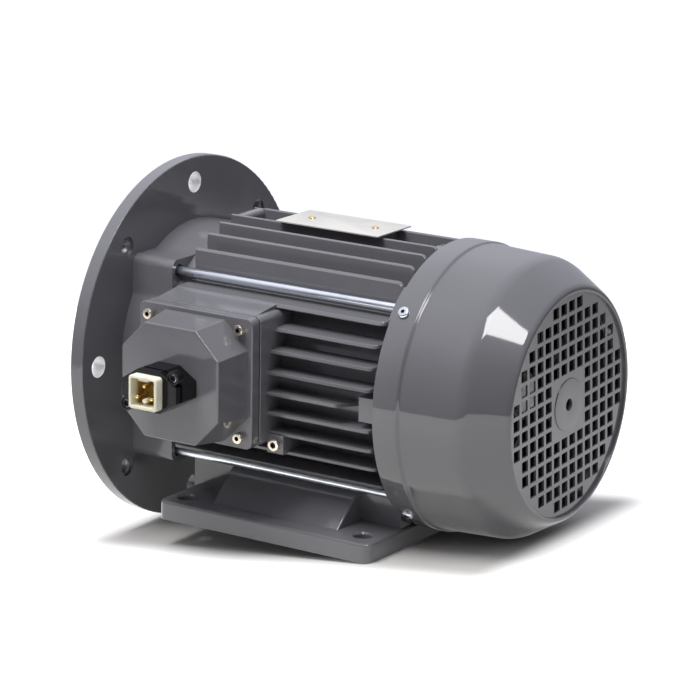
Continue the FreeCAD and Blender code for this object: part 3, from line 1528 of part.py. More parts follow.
def terminal_block():
    """Insulating board with six studs, joined in pairs by links under their nuts."""
    face = box_floor + s.block_thickness
    board = box("board_blank", (s.block_length, s.block_thickness, s.block_width),
                (box_middle - half(s.block_length), -face, s.box_height - half(s.block_width)))
    root = face - s.block_thickness + half(s.stud_diameter)
    drill = cylinder("stud_drill", s.stud_diameter + 2 * s.fit_gap, s.stud_length, OUT, (0, -root, 0))
    spots = [(x, 0, z) for x, z in stud_places()]
    keep(cut("board", board, shifted("stud_drills", drill, spots)), "terminal_block")
    stud = cylinder("stud", s.stud_diameter, s.stud_length, OUT, (0, -root, 0))
    keep(shifted("stud_set", stud, spots), "terminal_studs")
    nut_seat = face + s.link_thickness
    nut = hexagon("stud_nut_blank", s.stud_nut_width, s.stud_nut_height, OUT, (0, -nut_seat, 0))
    hole = cylinder("stud_nut_hole", s.stud_diameter + 2 * s.fit_gap, s.stud_nut_height, OUT, (0, -nut_seat, 0))
    keep(shifted("stud_nut_set", cut("stud_nut", nut, hole), spots), "terminal_nuts")
    link = new_body("link_strip")
    reach = half(s.stud_rows)
    ends = [(0, s.box_height + row * reach) for row in SIDES]
    round_ended(pad, link, ("XZ_Plane", face), ends, s.link_width, s.link_thickness)
    sketch = sketch_on(link, "XZ_Plane", nut_seat)
    for end in ends:
        add_circle(sketch, end, s.stud_diameter + 2 * s.saddle_gap)
    pocket(link, sketch, s.link_thickness)
    columns = [(box_middle + column * s.stud_pitch, 0, 0) for column in (-1, 0, 1)]
    keep(shifted("link_set", link, columns), "terminal_links")


def earth_screw():
    across, level = earth_place
    screw = turned_screw("earth_bolt", s.earth_screw, s.earth_screw_head, s.earth_screw_head_height,
                         s.earth_screw_grip, OUT, (across, -earth_face, level))
    keep(screw, "earth_screw")


def nameplate():
    """Bare plate on the platform, held by two round-head rivets."""
    blank = box("plate_blank", (s.plate_length, s.plate_width, s.plate_thickness),
                (plate_middle - half(s.plate_length), -half(s.plate_width), plate_height))
    places = [(plate_middle + side * half(s.rivet_spacing), 0, 0) for side in SIDES]
    drill = cylinder("rivet_drill", s.rivet_shank + 2 * s.fit_gap, 3 * s.plate_thickness, UP,
                     (0, 0, plate_height - s.plate_thickness))
    keep(cut("plate", blank, shifted("rivet_drills", drill, places)), "nameplate")
    top = plate_height + s.plate_thickness
    shank = cylinder("rivet_shank", s.rivet_shank, s.rivet_length + s.plate_thickness, UP,
                     (0, 0, top - s.rivet_length - s.plate_thickness))
    head = doc.addObject("Part::Ellipsoid", "rivet_head")
    bind(head, "Radius1", s.rivet_head * 0.3)
    bind(head, "Radius2", half(s.rivet_head))
    bind(head, "Radius3", half(s.rivet_head))
    head.Angle1 = 0
    move(head, (0, 0, top))
    rivet = doc.addObject("Part::Fuse", "rivet")
    rivet.Base = shank
    rivet.Tool = head
    keep(shifted("rivet_set", rivet, places), "nameplate_rivets")


def foot_screws():
    """Screws from below, their heads inside the foot's pockets."""
    screw = turned_screw("foot_bolt", s.foot_screw, s.foot_screw_head, s.foot_screw_head_height,
                         s.foot_screw_length, -UP, (0, 0, foot_roof))
    keep(shifted("foot_screw_set", screw, [(x, y, 0) for x, y in foot_screw_places()]), "foot_screws")


def build():
    drive_end_shield()
    stator_frame()
    foot_casting()
    nondrive_end_shield()
    tie_rods()
    fan_cowl()
    fan()
    shaft()
    bearing("drive", s.drive_bearing_front)
    bearing("nondrive", tail_bearing_front)
    bearing_fittings()
    stator()
    rotor()
    terminal_lid()
    connector()
    terminal_block()
    earth_screw()
    nameplate()
    foot_screws()


def check_document():
    """Stop when any object failed or any sub-part has no valid shape."""
    bad = [item.Name for item in doc.Objects if "Invalid" in item.State or "Error" in item.State]
    if bad:
        raise RuntimeError("objects in error: " + ", ".join(bad))
    for item in finished:
        if item.Shape.isNull() or not item.Shape.isValid() or not item.Shape.Solids:
            raise RuntimeError("no valid solid in " + item.Label)


def export():
    os.makedirs("parts", exist_ok=True)
    for item in finished:
        item.Shape.exportStep(f"parts/{item.Label}.step")


build()
doc.recompute()
check_document()
export()
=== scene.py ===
import json
import math

import bmesh
import bpy
from bpy.props import FloatProperty, FloatVectorProperty, PointerProperty
from mathutils import Matrix, Vector


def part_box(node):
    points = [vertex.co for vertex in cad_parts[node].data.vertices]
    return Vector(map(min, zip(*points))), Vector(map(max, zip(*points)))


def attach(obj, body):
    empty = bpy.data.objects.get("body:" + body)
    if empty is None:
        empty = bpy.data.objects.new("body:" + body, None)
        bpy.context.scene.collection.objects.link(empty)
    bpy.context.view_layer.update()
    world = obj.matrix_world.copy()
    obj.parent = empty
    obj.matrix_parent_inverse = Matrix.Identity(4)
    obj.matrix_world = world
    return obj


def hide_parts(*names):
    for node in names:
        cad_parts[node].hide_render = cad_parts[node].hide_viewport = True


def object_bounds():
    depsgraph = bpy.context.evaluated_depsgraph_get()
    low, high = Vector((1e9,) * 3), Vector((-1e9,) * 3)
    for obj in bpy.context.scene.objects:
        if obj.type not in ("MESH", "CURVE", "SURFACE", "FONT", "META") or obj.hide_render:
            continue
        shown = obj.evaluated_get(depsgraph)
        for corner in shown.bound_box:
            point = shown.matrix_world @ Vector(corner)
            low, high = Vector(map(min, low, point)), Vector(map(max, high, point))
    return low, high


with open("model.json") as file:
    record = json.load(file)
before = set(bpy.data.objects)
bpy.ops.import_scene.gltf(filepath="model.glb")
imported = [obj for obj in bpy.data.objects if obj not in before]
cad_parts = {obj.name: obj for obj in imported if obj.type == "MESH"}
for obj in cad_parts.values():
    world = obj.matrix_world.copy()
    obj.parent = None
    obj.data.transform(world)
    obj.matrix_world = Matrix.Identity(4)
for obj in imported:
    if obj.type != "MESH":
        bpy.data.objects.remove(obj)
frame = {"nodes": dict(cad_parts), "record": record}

bl_info = {
    "name": "Induction Motor",
    "version": (1, 0, 0),
    "blender": (4, 5, 0),
    "location": "3D View > Sidebar > Motor",
    "description": "Models and paints the pieces of a flange and foot mounted motor around its packed frame",
    "category": "Object",
}

CAD_LOW, CAD_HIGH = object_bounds()
NODES = frame["nodes"]
SLOTS = {part["node"]: part["material_slot"] for part in frame["record"]["subparts"]}
BODY_OF = {node: body for body, members in frame["record"]["behaviour"]["bodies"].items() for node in members}
MM = 0.001
WELD = 0.005 * MM
EAST, OUT, UP = Vector((1, 0, 0)), Vector((0, -1, 0)), Vector((0, 0, 1))


# Settings


def colour(name, description, default):
    """A setting that is a colour."""
    return FloatVectorProperty(name=name, description=description, default=default, subtype="COLOR",
                               size=3, min=0, max=1)


def length(name, description, default):
    """A setting that is a length in metres."""
    return FloatProperty(name=name, description=description, default=default, min=0, unit="LENGTH",
                         precision=5)


def fraction(name, description, default):
    """A setting between zero and one."""
    return FloatProperty(name=name, description=description, default=default, min=0, max=1, subtype="FACTOR")


def angle(name, description, degrees):
    """A setting that is an angle, given in degrees."""
    return FloatProperty(name=name, description=description, default=math.radians(degrees), subtype="ANGLE")


class MotorFinishes(bpy.types.PropertyGroup):
    """Colours and gloss of the finishes."""
    casting: colour("Casting paint", "Violet-grey gloss paint on the castings", (0.150, 0.148, 0.158))
    cowl: colour("Cowl paint", "The same paint on the smooth sheet cowl", (0.146, 0.145, 0.153))
    plate: colour("Nameplate", "Bare aluminium of the nameplate", (0.73, 0.71, 0.645))
    zinc: colour("Zinc plate", "Bright plating of rods and screws", (0.84, 0.88, 0.92))
    yellow_zinc: colour("Yellow zinc", "Yellow plating of the lid's screws", (0.76, 0.69, 0.54))
    ivory: colour("Insert", "Ivory moulding in the connector", (0.92, 0.89, 0.70))
    gloss: fraction("Paint roughness", "Roughness of the gloss paint on sheet", 0.06)
    cast_gloss: fraction("Casting roughness", "Roughness of the paint on castings", 0.13)


class MotorEdges(bpy.types.PropertyGroup):
    """Rounds on the pieces that are modelled here."""
    screw: length("Screw edge", "Round on the rim of the screw heads", 0.45 * MM)
    dome: length("Dome edge", "Round on the cowl screws' heads", 1.3 * MM)
    plate: length("Plate edge", "Round on the nameplate's rim", 0.2 * MM)
    pin: length("Pin tip", "Round on the tips of the pins", 0.8 * MM)
    pitch: length("Thread pitch", "Pitch of the threads in the flange", 1.75 * MM)


class MotorStage(bpy.types.PropertyGroup):
    """Camera, floor and light."""
    lens: FloatProperty(name="Lens", description="Focal length in millimetres on the sensor", default=168.6,
                        min=10, max=400)
    turn: angle("Camera turn", "Camera's direction round the motor", 33.0888)
    height: angle("Camera height", "Camera's angle above the shaft", 14.6756)
    roll: angle("Camera roll", "Camera's turn about its own axis", 1.0289)
    tilt: angle("Floor tilt", "The motor leans on its flange, so the floor slopes in its frame", 6.83)


# Finishes


# The range within which a noise texture mostly stays
NOISE_LOW, NOISE_HIGH = 0.3, 0.7


class Pattern:
    """The nodes of a material or a world, with short ways to add the kinds used here."""

    def __init__(self, tree, coordinates):
        self.nodes, self.links = tree.nodes, tree.links
        self.place = self.nodes.new("ShaderNodeTexCoord").outputs[coordinates]

    def along(self, axis):
        """The place measured along one axis."""
        spot = self.nodes.new("ShaderNodeSeparateXYZ")
        self.links.new(self.place, spot.inputs["Vector"])
        return spot.outputs[axis]

    def rays(self, kind):
        """One for rays of a kind and zero for the others."""
        return self.nodes.new("ShaderNodeLightPath").outputs[kind]

    def maths(self, operation, first, second):
        """One value made from two."""
        node = self.nodes.new("ShaderNodeMath")
        node.operation = operation
        self.links.new(first, node.inputs[0])
        self.links.new(second, node.inputs[1])
        return node.outputs["Value"]

    def vector(self, operation, first, second=None):
        """A node that works on a vector, and on a fixed second one if given."""
        node = self.nodes.new("ShaderNodeVectorMath")
        node.operation = operation
        self.links.new(first, node.inputs[0])
        if second:
            node.inputs[1].default_value = second
        return node

    def span(self, value, start, end, low, high):
        """A value that goes softly from low to high between start and end."""
        node = self.nodes.new("ShaderNodeMapRange")
        node.interpolation_type = "SMOOTHSTEP"
        for socket, number in zip(("From Min", "From Max", "To Min", "To Max"), (start, end, low, high)):
            node.inputs[socket].default_value = number
        self.links.new(value, node.inputs["Value"])
        return node.outputs["Result"]


class Finish(Pattern):
    """A material whose patterns follow the piece's own coordinates."""

    def __init__(self, name):
        self.material = bpy.data.materials.new(name)
        self.material.use_nodes = True
        super().__init__(self.material.node_tree, "Object")
        self.shader = self.nodes["Principled BSDF"]

    def set(self, **values):
        """Give inputs of the shader fixed values."""
        for name, value in values.items():
            self.shader.inputs[name.replace("_", " ")].default_value = value

    def join(self, output, socket):
        """Let a pattern drive an input of the shader."""
        self.links.new(output, self.shader.inputs[socket])

    def noise(self, scale, detail=3, stretch=(1, 1, 1), roughness=0.5):
        """Soft random patches."""
        mapping = self.nodes.new("ShaderNodeMapping")
        mapping.inputs["Scale"].default_value = stretch
        texture = self.nodes.new("ShaderNodeTexNoise")
        texture.inputs["Scale"].default_value = scale
        texture.inputs["Detail"].default_value = detail
        texture.inputs["Roughness"].default_value = roughness
        self.links.new(self.place, mapping.inputs["Vector"])
        self.links.new(mapping.outputs["Vector"], texture.inputs["Vector"])
        return texture.outputs["Fac"]

    def waves(self, scale, axis, distortion=0.0):
        """Even bands across an axis."""
        texture = self.nodes.new("ShaderNodeTexWave")
        texture.wave_type = "BANDS"
        texture.bands_direction = axis
        texture.inputs["Scale"].default_value = scale
        texture.inputs["Distortion"].default_value = distortion
        self.links.new(self.place, texture.inputs["Vector"])
        return texture.outputs["Fac"]

    def blend(self, factor, dark, light):
        """A base colour that goes from dark to light with a pattern."""
        ramp = self.nodes.new("ShaderNodeValToRGB")
        ramp.color_ramp.elements[0].position = NOISE_LOW
        ramp.color_ramp.elements[1].position = NOISE_HIGH
        ramp.color_ramp.elements[0].color = (*dark, 1)
        ramp.color_ramp.elements[1].color = (*light, 1)
        self.links.new(factor, ramp.inputs["Fac"])
        self.join(ramp.outputs["Color"], "Base Color")

    def vary(self, factor, low, high, socket="Roughness"):
        """An input that goes from low to high with a pattern."""
        self.join(self.span(factor, NOISE_LOW, NOISE_HIGH, low, high), socket)

    def bump(self, factor, depth, strength=1.0):
        """Relief of a pattern, up to a depth."""
        bump = self.nodes.new("ShaderNodeBump")
        bump.inputs["Strength"].default_value = strength
        bump.inputs["Distance"].default_value = depth
        self.links.new(factor, bump.inputs["Height"])
        self.join(bump.outputs["Normal"], "Normal")


def shade(rgb, share):
    """A colour made darker or lighter."""
    return tuple(min(1, part * share) for part in rgb)


def options():
    """The finishes' settings."""
    return bpy.context.scene.motor_finishes


def paint(name, rgb, rough, grain, depth):
    """Gloss paint with a slight orange peel over the metal's own surface."""
    look = Finish(name)
    look.blend(look.noise(18, 4), shade(rgb, 0.96), shade(rgb, 1.04))
    look.vary(look.noise(70, 5), rough * 0.8, rough * 1.25)
    look.bump(look.noise(grain, 3), depth)
    look.set(IOR=1.55)
    return look.material


def grey_paint():
    """The paint on the castings."""
    return paint("grey_paint", options().casting, options().cast_gloss, 420, 0.03 * MM)


def cowl_paint():
    """The same paint on smooth sheet."""
    return paint("cowl_paint", options().cowl, options().gloss, 60, 0.012 * MM)


def plated(name, rgb, rough, stretch):
    """Plated steel with fine marks drawn along one direction."""
    look = Finish(name)
    marks = look.noise(900, 4, stretch)
    look.blend(look.noise(60, 4), shade(rgb, 0.86), shade(rgb, 1.06))
    look.vary(marks, rough - 0.08, rough + 0.1)
    look.bump(marks, 0.01 * MM, 0.5)
    look.set(Metallic=1.0)
    return look.material


def zinc_steel():
    return plated("zinc_steel", options().zinc, 0.30, (0.05, 1, 1))


def yellow_zinc():
    look = Finish("yellow_zinc")
    gold = options().yellow_zinc
    look.blend(look.noise(240, 3), shade(gold, 0.78), (gold[0] * 1.12, gold[1] * 1.14, gold[2] * 1.3))
    look.vary(look.noise(700, 3), 0.22, 0.38)
    look.set(Metallic=1.0)
    return look.material


def bare_aluminium():
    look = Finish("bare_aluminium")
    brushed = look.noise(1500, 3, (0.02, 1, 1))
    look.blend(brushed, shade(options().plate, 0.94), shade(options().plate, 1.06))
    look.vary(look.noise(60, 4), 0.34, 0.46)
    look.bump(brushed, 0.006 * MM, 0.6)
    look.set(Metallic=0.55, IOR=1.6)
    return look.material


def polished(name, rgb, rough):
    """Bright or dark metal with fine patches."""
    look = Finish(name)
    look.blend(look.noise(260, 3), shade(rgb, 0.88), shade(rgb, 1.08))
    look.vary(look.noise(500, 4), rough - 0.06, rough + 0.08)
    look.set(Metallic=1.0)
    return look.material


def brass():
    return polished("brass", (0.80, 0.60, 0.27), 0.26)


def gold_contact():
    return polished("gold_contact", (0.86, 0.63, 0.22), 0.22)


def bearing_steel():
    return polished("bearing_steel", (0.66, 0.67, 0.69), 0.16)


def thread_steel():
    return polished("thread_steel", (0.26, 0.26, 0.27), 0.42)


def dark_spring():
    return polished("dark_spring", (0.11, 0.11, 0.12), 0.36)


def moulded(name, rgb, rough, grain, depth, sheen=0.5):
    """Moulded plastic or rubber with a fine skin."""
    look = Finish(name)
    look.set(Specular_IOR_Level=sheen)
    look.blend(look.noise(90, 4), shade(rgb, 0.88), shade(rgb, 1.1))
    look.vary(look.noise(260, 4), rough - 0.05, rough + 0.08)
    look.bump(look.noise(grain, 4), depth, 0.6)
    return look.material


def gasket_rubber():
    return moulded("gasket_rubber", (0.016, 0.016, 0.017), 0.72, 1400, 0.04 * MM)


def black_plastic():
    return moulded("black_plastic", (0.006, 0.006, 0.007), 0.14, 900, 0.012 * MM, 0.25)


def ivory_plastic():
    return moulded("ivory_plastic", options().ivory, 0.36, 1100, 0.01 * MM)


# Painted reflection and shade: amber put deep in the insert's mouth for the gold contacts' reflection and the
# shade there, and the places between which it sets in
CONTACT_REFLECTION_COLOUR = (0.42, 0.27, 0.07)
CONTACT_REFLECTION_REACH = (-166 * MM, -154 * MM)


def mouth_painted_reflection():
    """Ivory at the mouth of the insert, going to amber deeper in as painted reflection of the gold contacts
    and painted shade.
    """
    look = Finish("mouth_painted_reflection")
    look.blend(look.span(look.along("Y"), *CONTACT_REFLECTION_REACH, 0, 1), options().ivory, CONTACT_REFLECTION_COLOUR)
    look.vary(look.noise(260, 4), 0.3, 0.42)
    return look.material


def socket_painted_shade():
    """Painted shade: a near-black colour for the inside of a screw's socket and the connector screws' tops,
    where shade falls.
    """
    return moulded("socket_painted_shade", (0.022, 0.019, 0.016), 0.5, 900, 0.01 * MM)


def cut_wall_painted_light():
    """Cut metal on the walls of the bolt holes, near white as painted light: the colour stands in for the
    light the walls catch.
    """
    look = Finish("cut_wall_painted_light")
    marks = look.noise(1800, 2, (1, 0.05, 0.05))
    look.blend(marks, (0.86, 0.86, 0.84), (0.95, 0.95, 0.93))
    look.vary(look.noise(300, 3), 0.3, 0.45)
    look.set(Metallic=0.2)
    return look.material


def brown_resin():
    return moulded("brown_resin", (0.10, 0.045, 0.022), 0.42, 800, 0.02 * MM)


def fan_plastic():
    return moulded("fan_plastic", (0.014, 0.014, 0.015), 0.42, 900, 0.02 * MM)


def ground_steel():
    look = Finish("ground_steel")
    ring_marks = look.noise(2600, 2, (1, 0.03, 0.03))
    look.blend(look.noise(45, 4), (0.64, 0.64, 0.655), (0.69, 0.69, 0.705))
    look.vary(ring_marks, 0.40, 0.46)
    look.bump(ring_marks, 0.001 * MM, 0.4)
    look.set(Metallic=1.0)
    return look.material


def lamination():
    look = Finish("lamination")
    sheets = look.waves(320, "X")
    look.blend(sheets, (0.09, 0.09, 0.10), (0.26, 0.26, 0.28))
    look.vary(look.noise(120, 4), 0.42, 0.6)
    look.bump(sheets, 0.08 * MM, 0.8)
    look.set(Metallic=0.8)
    return look.material


def copper():
    look = Finish("copper")
    wires = look.waves(260, "DIAGONAL", 2.5)
    look.blend(wires, (0.22, 0.06, 0.02), (0.66, 0.26, 0.10))
    look.vary(look.noise(200, 4), 0.28, 0.45)
    look.bump(wires, 0.25 * MM, 0.9)
    look.set(Metallic=0.7)
    return look.material


MAKERS = {maker.__name__: maker for maker in (
    grey_paint, cowl_paint, zinc_steel, yellow_zinc, bare_aluminium, brass, gold_contact, bearing_steel,
    thread_steel, dark_spring, gasket_rubber, black_plastic, ivory_plastic, mouth_painted_reflection, socket_painted_shade,
    cut_wall_painted_light, brown_resin, fan_plastic, ground_steel, lamination, copper)}


def finish(slot):
    """The finish of a slot, made once and kept apart from the frame's own material of that name."""
    name = "finish_" + slot
    if name not in bpy.data.materials:
        MAKERS[slot]().name = name
    return bpy.data.materials[name]


# Mesh helpers


def copy_of(node):
    """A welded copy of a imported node, ready to be reworked."""
    bm = bmesh.new()
    bm.from_mesh(NODES[node].data)
    bmesh.ops.remove_doubles(bm, verts=bm.verts, dist=WELD)
    return bm


def merge(bm, other, pose=Matrix()):
    """Add another mesh to this one, moved by a pose."""
    mesh = bpy.data.meshes.new("merged")
    other.to_mesh(mesh)
    mesh.transform(pose)
    bm.from_mesh(mesh)
    bpy.data.meshes.remove(mesh)


def seat(bm, name, *nodes, sharp=32, smooth_flats=False):
    """Make the piece, give it its finish and let it stand for its nodes."""
    mesh = bpy.data.meshes.new(name)
    bm.to_mesh(mesh)
    bm.free()
    for layer in ("custom_normal", "sharp_edge", "sharp_face"):
        if layer in mesh.attributes:
            mesh.attributes.remove(mesh.attributes[layer])
    mesh.shade_smooth()
    mesh.set_sharp_from_angle(angle=math.radians(sharp))
    piece = bpy.data.objects.new(name, mesh)
    bpy.context.scene.collection.objects.link(piece)
    slot = SLOTS[nodes[0]]
    mesh.materials.append(finish(slot))
    if smooth_flats:
        flats = piece.modifiers.new("flat faces stay flat", "WEIGHTED_NORMAL")
        flats.keep_sharp = True
    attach(piece, BODY_OF[nodes[0]])
    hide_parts(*nodes)
    return piece


def dress(name, node, sharp=32):
    """A welded and smoothly shaded copy of a node with its finish."""
    return seat(copy_of(node), name, node, sharp=sharp, smooth_flats=True)


def coat(*nodes):
    """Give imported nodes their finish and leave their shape."""
    for node in nodes:
        NODES[node].data.materials.clear()
        NODES[node].data.materials.append(finish(SLOTS[node]))


def islands(node):
    """Lowest and highest corner of each separate solid of a node."""
    bm = copy_of(node)
    left = set(bm.verts)
    boxes = []
    while left:
        group, fresh = set(), [left.pop()]
        while fresh:
            vert = fresh.pop()
            group.add(vert)
            fresh += [far for far in (edge.other_vert(vert) for edge in vert.link_edges) if far in left]
            left.difference_update(fresh)
        spots = [vert.co for vert in group]
        boxes.append((Vector(map(min, *spots)), Vector(map(max, *spots))))
    bm.free()
    return sorted(boxes, key=lambda box: tuple(box[0]))


def loop_edges(verts):
    """All edges at some vertices."""
    return list({edge for vert in verts for edge in vert.link_edges})


def ring(bm, segments, radius, pose=Matrix()):
    """Edges of an open circle round Z, moved by a pose."""
    made = bmesh.ops.create_circle(bm, cap_ends=False, segments=segments, radius=radius, matrix=pose)
    return loop_edges(made["verts"])


def drawn_on(bm, edges, shift=(0, 0, 0), scale=1.0):
    """Draw a loop on to a new place and width, and give the new loop."""
    made = bmesh.ops.extrude_edge_only(bm, edges=edges)["geom"]
    verts = [part for part in made if isinstance(part, bmesh.types.BMVert)]
    bmesh.ops.scale(bm, vec=(scale, scale, 1), verts=verts)
    bmesh.ops.translate(bm, vec=shift, verts=verts)
    return [part for part in made if isinstance(part, bmesh.types.BMEdge)]


def round_off(bm, edges, offset, segments=3):
    """Round some edges."""
    bmesh.ops.bevel(bm, geom=edges, offset=offset, segments=segments, profile=0.5, affect="EDGES",
                    material=-1, clamp_overlap=True)


def round_corners(bm, verts, offset, segments):
    """Round corners of a flat outline."""
    bmesh.ops.bevel(bm, geom=verts, offset=offset, segments=segments, profile=0.5, affect="VERTICES",
                    material=-1)


def spun(bm, steps):
    """Turn the drawn line about the shaft and weld the seam."""
    bmesh.ops.spin(bm, geom=bm.verts[:] + bm.edges[:], cent=(0, 0, 0), axis=EAST, angle=2 * math.pi,
                   steps=steps, use_merge=True)
    bmesh.ops.remove_doubles(bm, verts=bm.verts, dist=WELD)


def turned(points, steps=96):
    """A closed ring turned about the shaft from points of place, radius and corner in millimetres."""
    bm = bmesh.new()
    verts = [bm.verts.new((place * MM, 0, radius * MM)) for place, radius, _ in points]
    for pair in zip(verts, verts[1:] + verts[:1]):
        bm.edges.new(pair)
    for vert, (_, _, corner) in zip(verts, points):
        if corner:
            round_corners(bm, [vert], corner * MM, 8)
    spun(bm, steps)
    bmesh.ops.recalc_face_normals(bm, faces=bm.faces)
    return bm


# Depth of a screw's socket as a share of its head
SOCKET_DEPTH = 0.6


def screw(sizes, reach, rounding):
    """Screw along Z with its seat at zero; sizes are head, head height, shank and socket in millimetres."""
    head, tall, shank, key = (size * MM for size in sizes)
    bm = bmesh.new()
    top = Matrix.Translation((0, 0, tall))
    rim = ring(bm, 24, head / 2, top)
    bmesh.ops.subdivide_edges(bm, edges=ring(bm, 6, key / math.sqrt(3), top), cuts=3)
    socket = [edge for edge in bm.edges if edge not in rim]
    bmesh.ops.bridge_loops(bm, edges=rim + socket)
    floor = drawn_on(bm, socket, (0, 0, -SOCKET_DEPTH * tall))
    # The socket's walls and floor take the second finish, a painted shade.
    walls = [face for edge in floor for face in edge.link_faces]
    for face in walls + bmesh.ops.edgeloop_fill(bm, edges=floor)["faces"]:
        face.material_index = 1
    under = drawn_on(bm, rim, (0, 0, -tall))
    neck = drawn_on(bm, under, scale=shank / head)
    end = drawn_on(bm, neck, (0, 0, -reach))
    bmesh.ops.edgeloop_fill(bm, edges=end)
    round_off(bm, rim, rounding, 4)
    bmesh.ops.recalc_face_normals(bm, faces=bm.faces)
    return bm


def facing(direction, place):
    """A pose that looks along a direction from a place."""
    pose = direction.to_track_quat("Z", "Y").to_matrix().to_4x4()
    pose.translation = place
    return pose


# Pieces


# The cowl sits a little turned about the shaft.
COWL_TURN = Matrix.Rotation(math.radians(4.15), 4, "X")
# Place along the shaft, radius and rounded corner of the turned profiles, in millimetres
COWL_RING = ((218.3, 96.0, 0.5), (236.0, 96.0, 0.9), (237.6, 94.6, 0.9), (281.0, 92.6, 4.5),
             (306.3, 77.9, 1.2), (308.3, 75.9, 1.0), (308.3, 73.5, 0.7), (306.3, 73.5, 0), (304.8, 73.5, 0),
             (304.8, 78.2, 0), (280.6, 91.0, 3.0), (237.6, 93.1, 0), (236.0, 94.5, 0), (218.3, 94.5, 0.5))
DISC_RING = ((306.2, 17.5, 0), (306.9, 17.5, 0.5), (306.9, 4.0, 0.2), (304.8, 4.0, 0))
# The grille: its face, sheet and edge, and its holes' field, pitch, width, rows and closed middle
GRILLE = {"face": 306.3, "sheet": 1.5, "radius": 73.5, "eye": 4.0, "reach": 67.0, "pitch": 10.0, "hole": 7.4,
          "corner": 0.5, "rows": 14, "middle": 4}


def grille_holes():
    """Places of the grille's square holes: a grid inside a circle with its middle left closed."""
    steps = [step - (GRILLE["rows"] - 1) / 2 for step in range(GRILLE["rows"])]
    for row in steps:
        for column in steps:
            closed = max(abs(row), abs(column)) < GRILLE["middle"] / 2
            if math.hypot(row, column) * GRILLE["pitch"] <= GRILLE["reach"] and not closed:
                yield column * GRILLE["pitch"] * MM, row * GRILLE["pitch"] * MM


def punched_plate():
    """The cowl's flat end with its square holes and the hole in the middle."""
    bm = bmesh.new()
    upright = Matrix.Translation((GRILLE["face"] * MM, 0, 0)) @ Matrix.Rotation(math.pi / 2, 4, "Y")
    quarter = Matrix.Rotation(math.pi / 4, 4, "Z")
    half_diagonal = GRILLE["hole"] * MM / math.sqrt(2)
    for across, up in grille_holes():
        ring(bm, 4, half_diagonal, Matrix.Translation((0, across, up)) @ upright @ quarter)
    round_corners(bm, bm.verts[:], GRILLE["corner"] * MM, 2)
    ring(bm, 192, GRILLE["radius"] * MM, upright)
    ring(bm, 48, GRILLE["eye"] * MM, upright)
    bmesh.ops.triangle_fill(bm, use_beauty=True, edges=bm.edges[:], normal=EAST)
    made = bmesh.ops.extrude_face_region(bm, geom=bm.faces[:])["geom"]
    back = [part for part in made if isinstance(part, bmesh.types.BMVert)]
    bmesh.ops.translate(bm, vec=(-GRILLE["sheet"] * MM, 0, 0), verts=back)
    bmesh.ops.recalc_face_normals(bm, faces=bm.faces)
    return bm


class MOTOR_OT_cowl(bpy.types.Operator):
    """Turned cowl over the fan with its punched grille"""
    bl_idname = "motor.cowl"
    bl_label = "Fan Cowl"

    def execute(self, context):
        bm = turned(COWL_RING, 192)
        merge(bm, punched_plate())
        merge(bm, turned(DISC_RING))
        bmesh.ops.transform(bm, matrix=COWL_TURN, verts=bm.verts)
        seat(bm, "cowl_sheet", "fan_cowl", sharp=38)
        return {"FINISHED"}


# Radius of the circle of the flange's holes, and radii that take in their walls and mouths
HOLE_CIRCLE = 107.5 * MM
TAPPED_WALL, TAPPED_MOUTH, BARE_WALL = 5.3 * MM, 6.8 * MM, 7.4 * MM


def hole_places(*degrees):
    """Places on the flange's hole circle."""
    turns = [math.radians(turn) for turn in degrees]
    return [Vector((0, math.cos(turn), math.sin(turn))) * HOLE_CIRCLE for turn in turns]


TAPPED_PLACES = hole_places(45, 135, 225, 315)
# The fourth plain hole, behind the foot, is painted like the casting as painted shade; the other three take
# the pale walls.
BARE_PLACES = hole_places(0, 90, 180)


def near_axis(spot, places, radius):
    """Whether a spot lies within a radius of an axis through one of the places."""
    return any(math.hypot(spot.y - place.y, spot.z - place.z) < radius for place in places)


def thread_ring(pitch):
    """Grooves of a tapped hole along X, between the mouths of the hole."""
    crest, root, start, end = 5.1 * MM, 5.9 * MM, 1.5 * MM, 8.5 * MM
    bm = bmesh.new()
    turns = int((end - start) / pitch)
    rows = [(start, crest)]
    for turn in range(turns):
        rows += [(start + (turn + 0.5) * pitch, root), (start + (turn + 1) * pitch, crest)]
    rows.append((end, crest))
    verts = [bm.verts.new((place, 0, radius)) for place, radius in rows]
    for pair in zip(verts, verts[1:]):
        bm.edges.new(pair)
    spun(bm, 32)
    for face in bm.faces:
        face.normal_update()
        if face.normal.dot(Vector((0, *face.calc_center_median().yz))) > 0:
            face.normal_flip()
    return bm


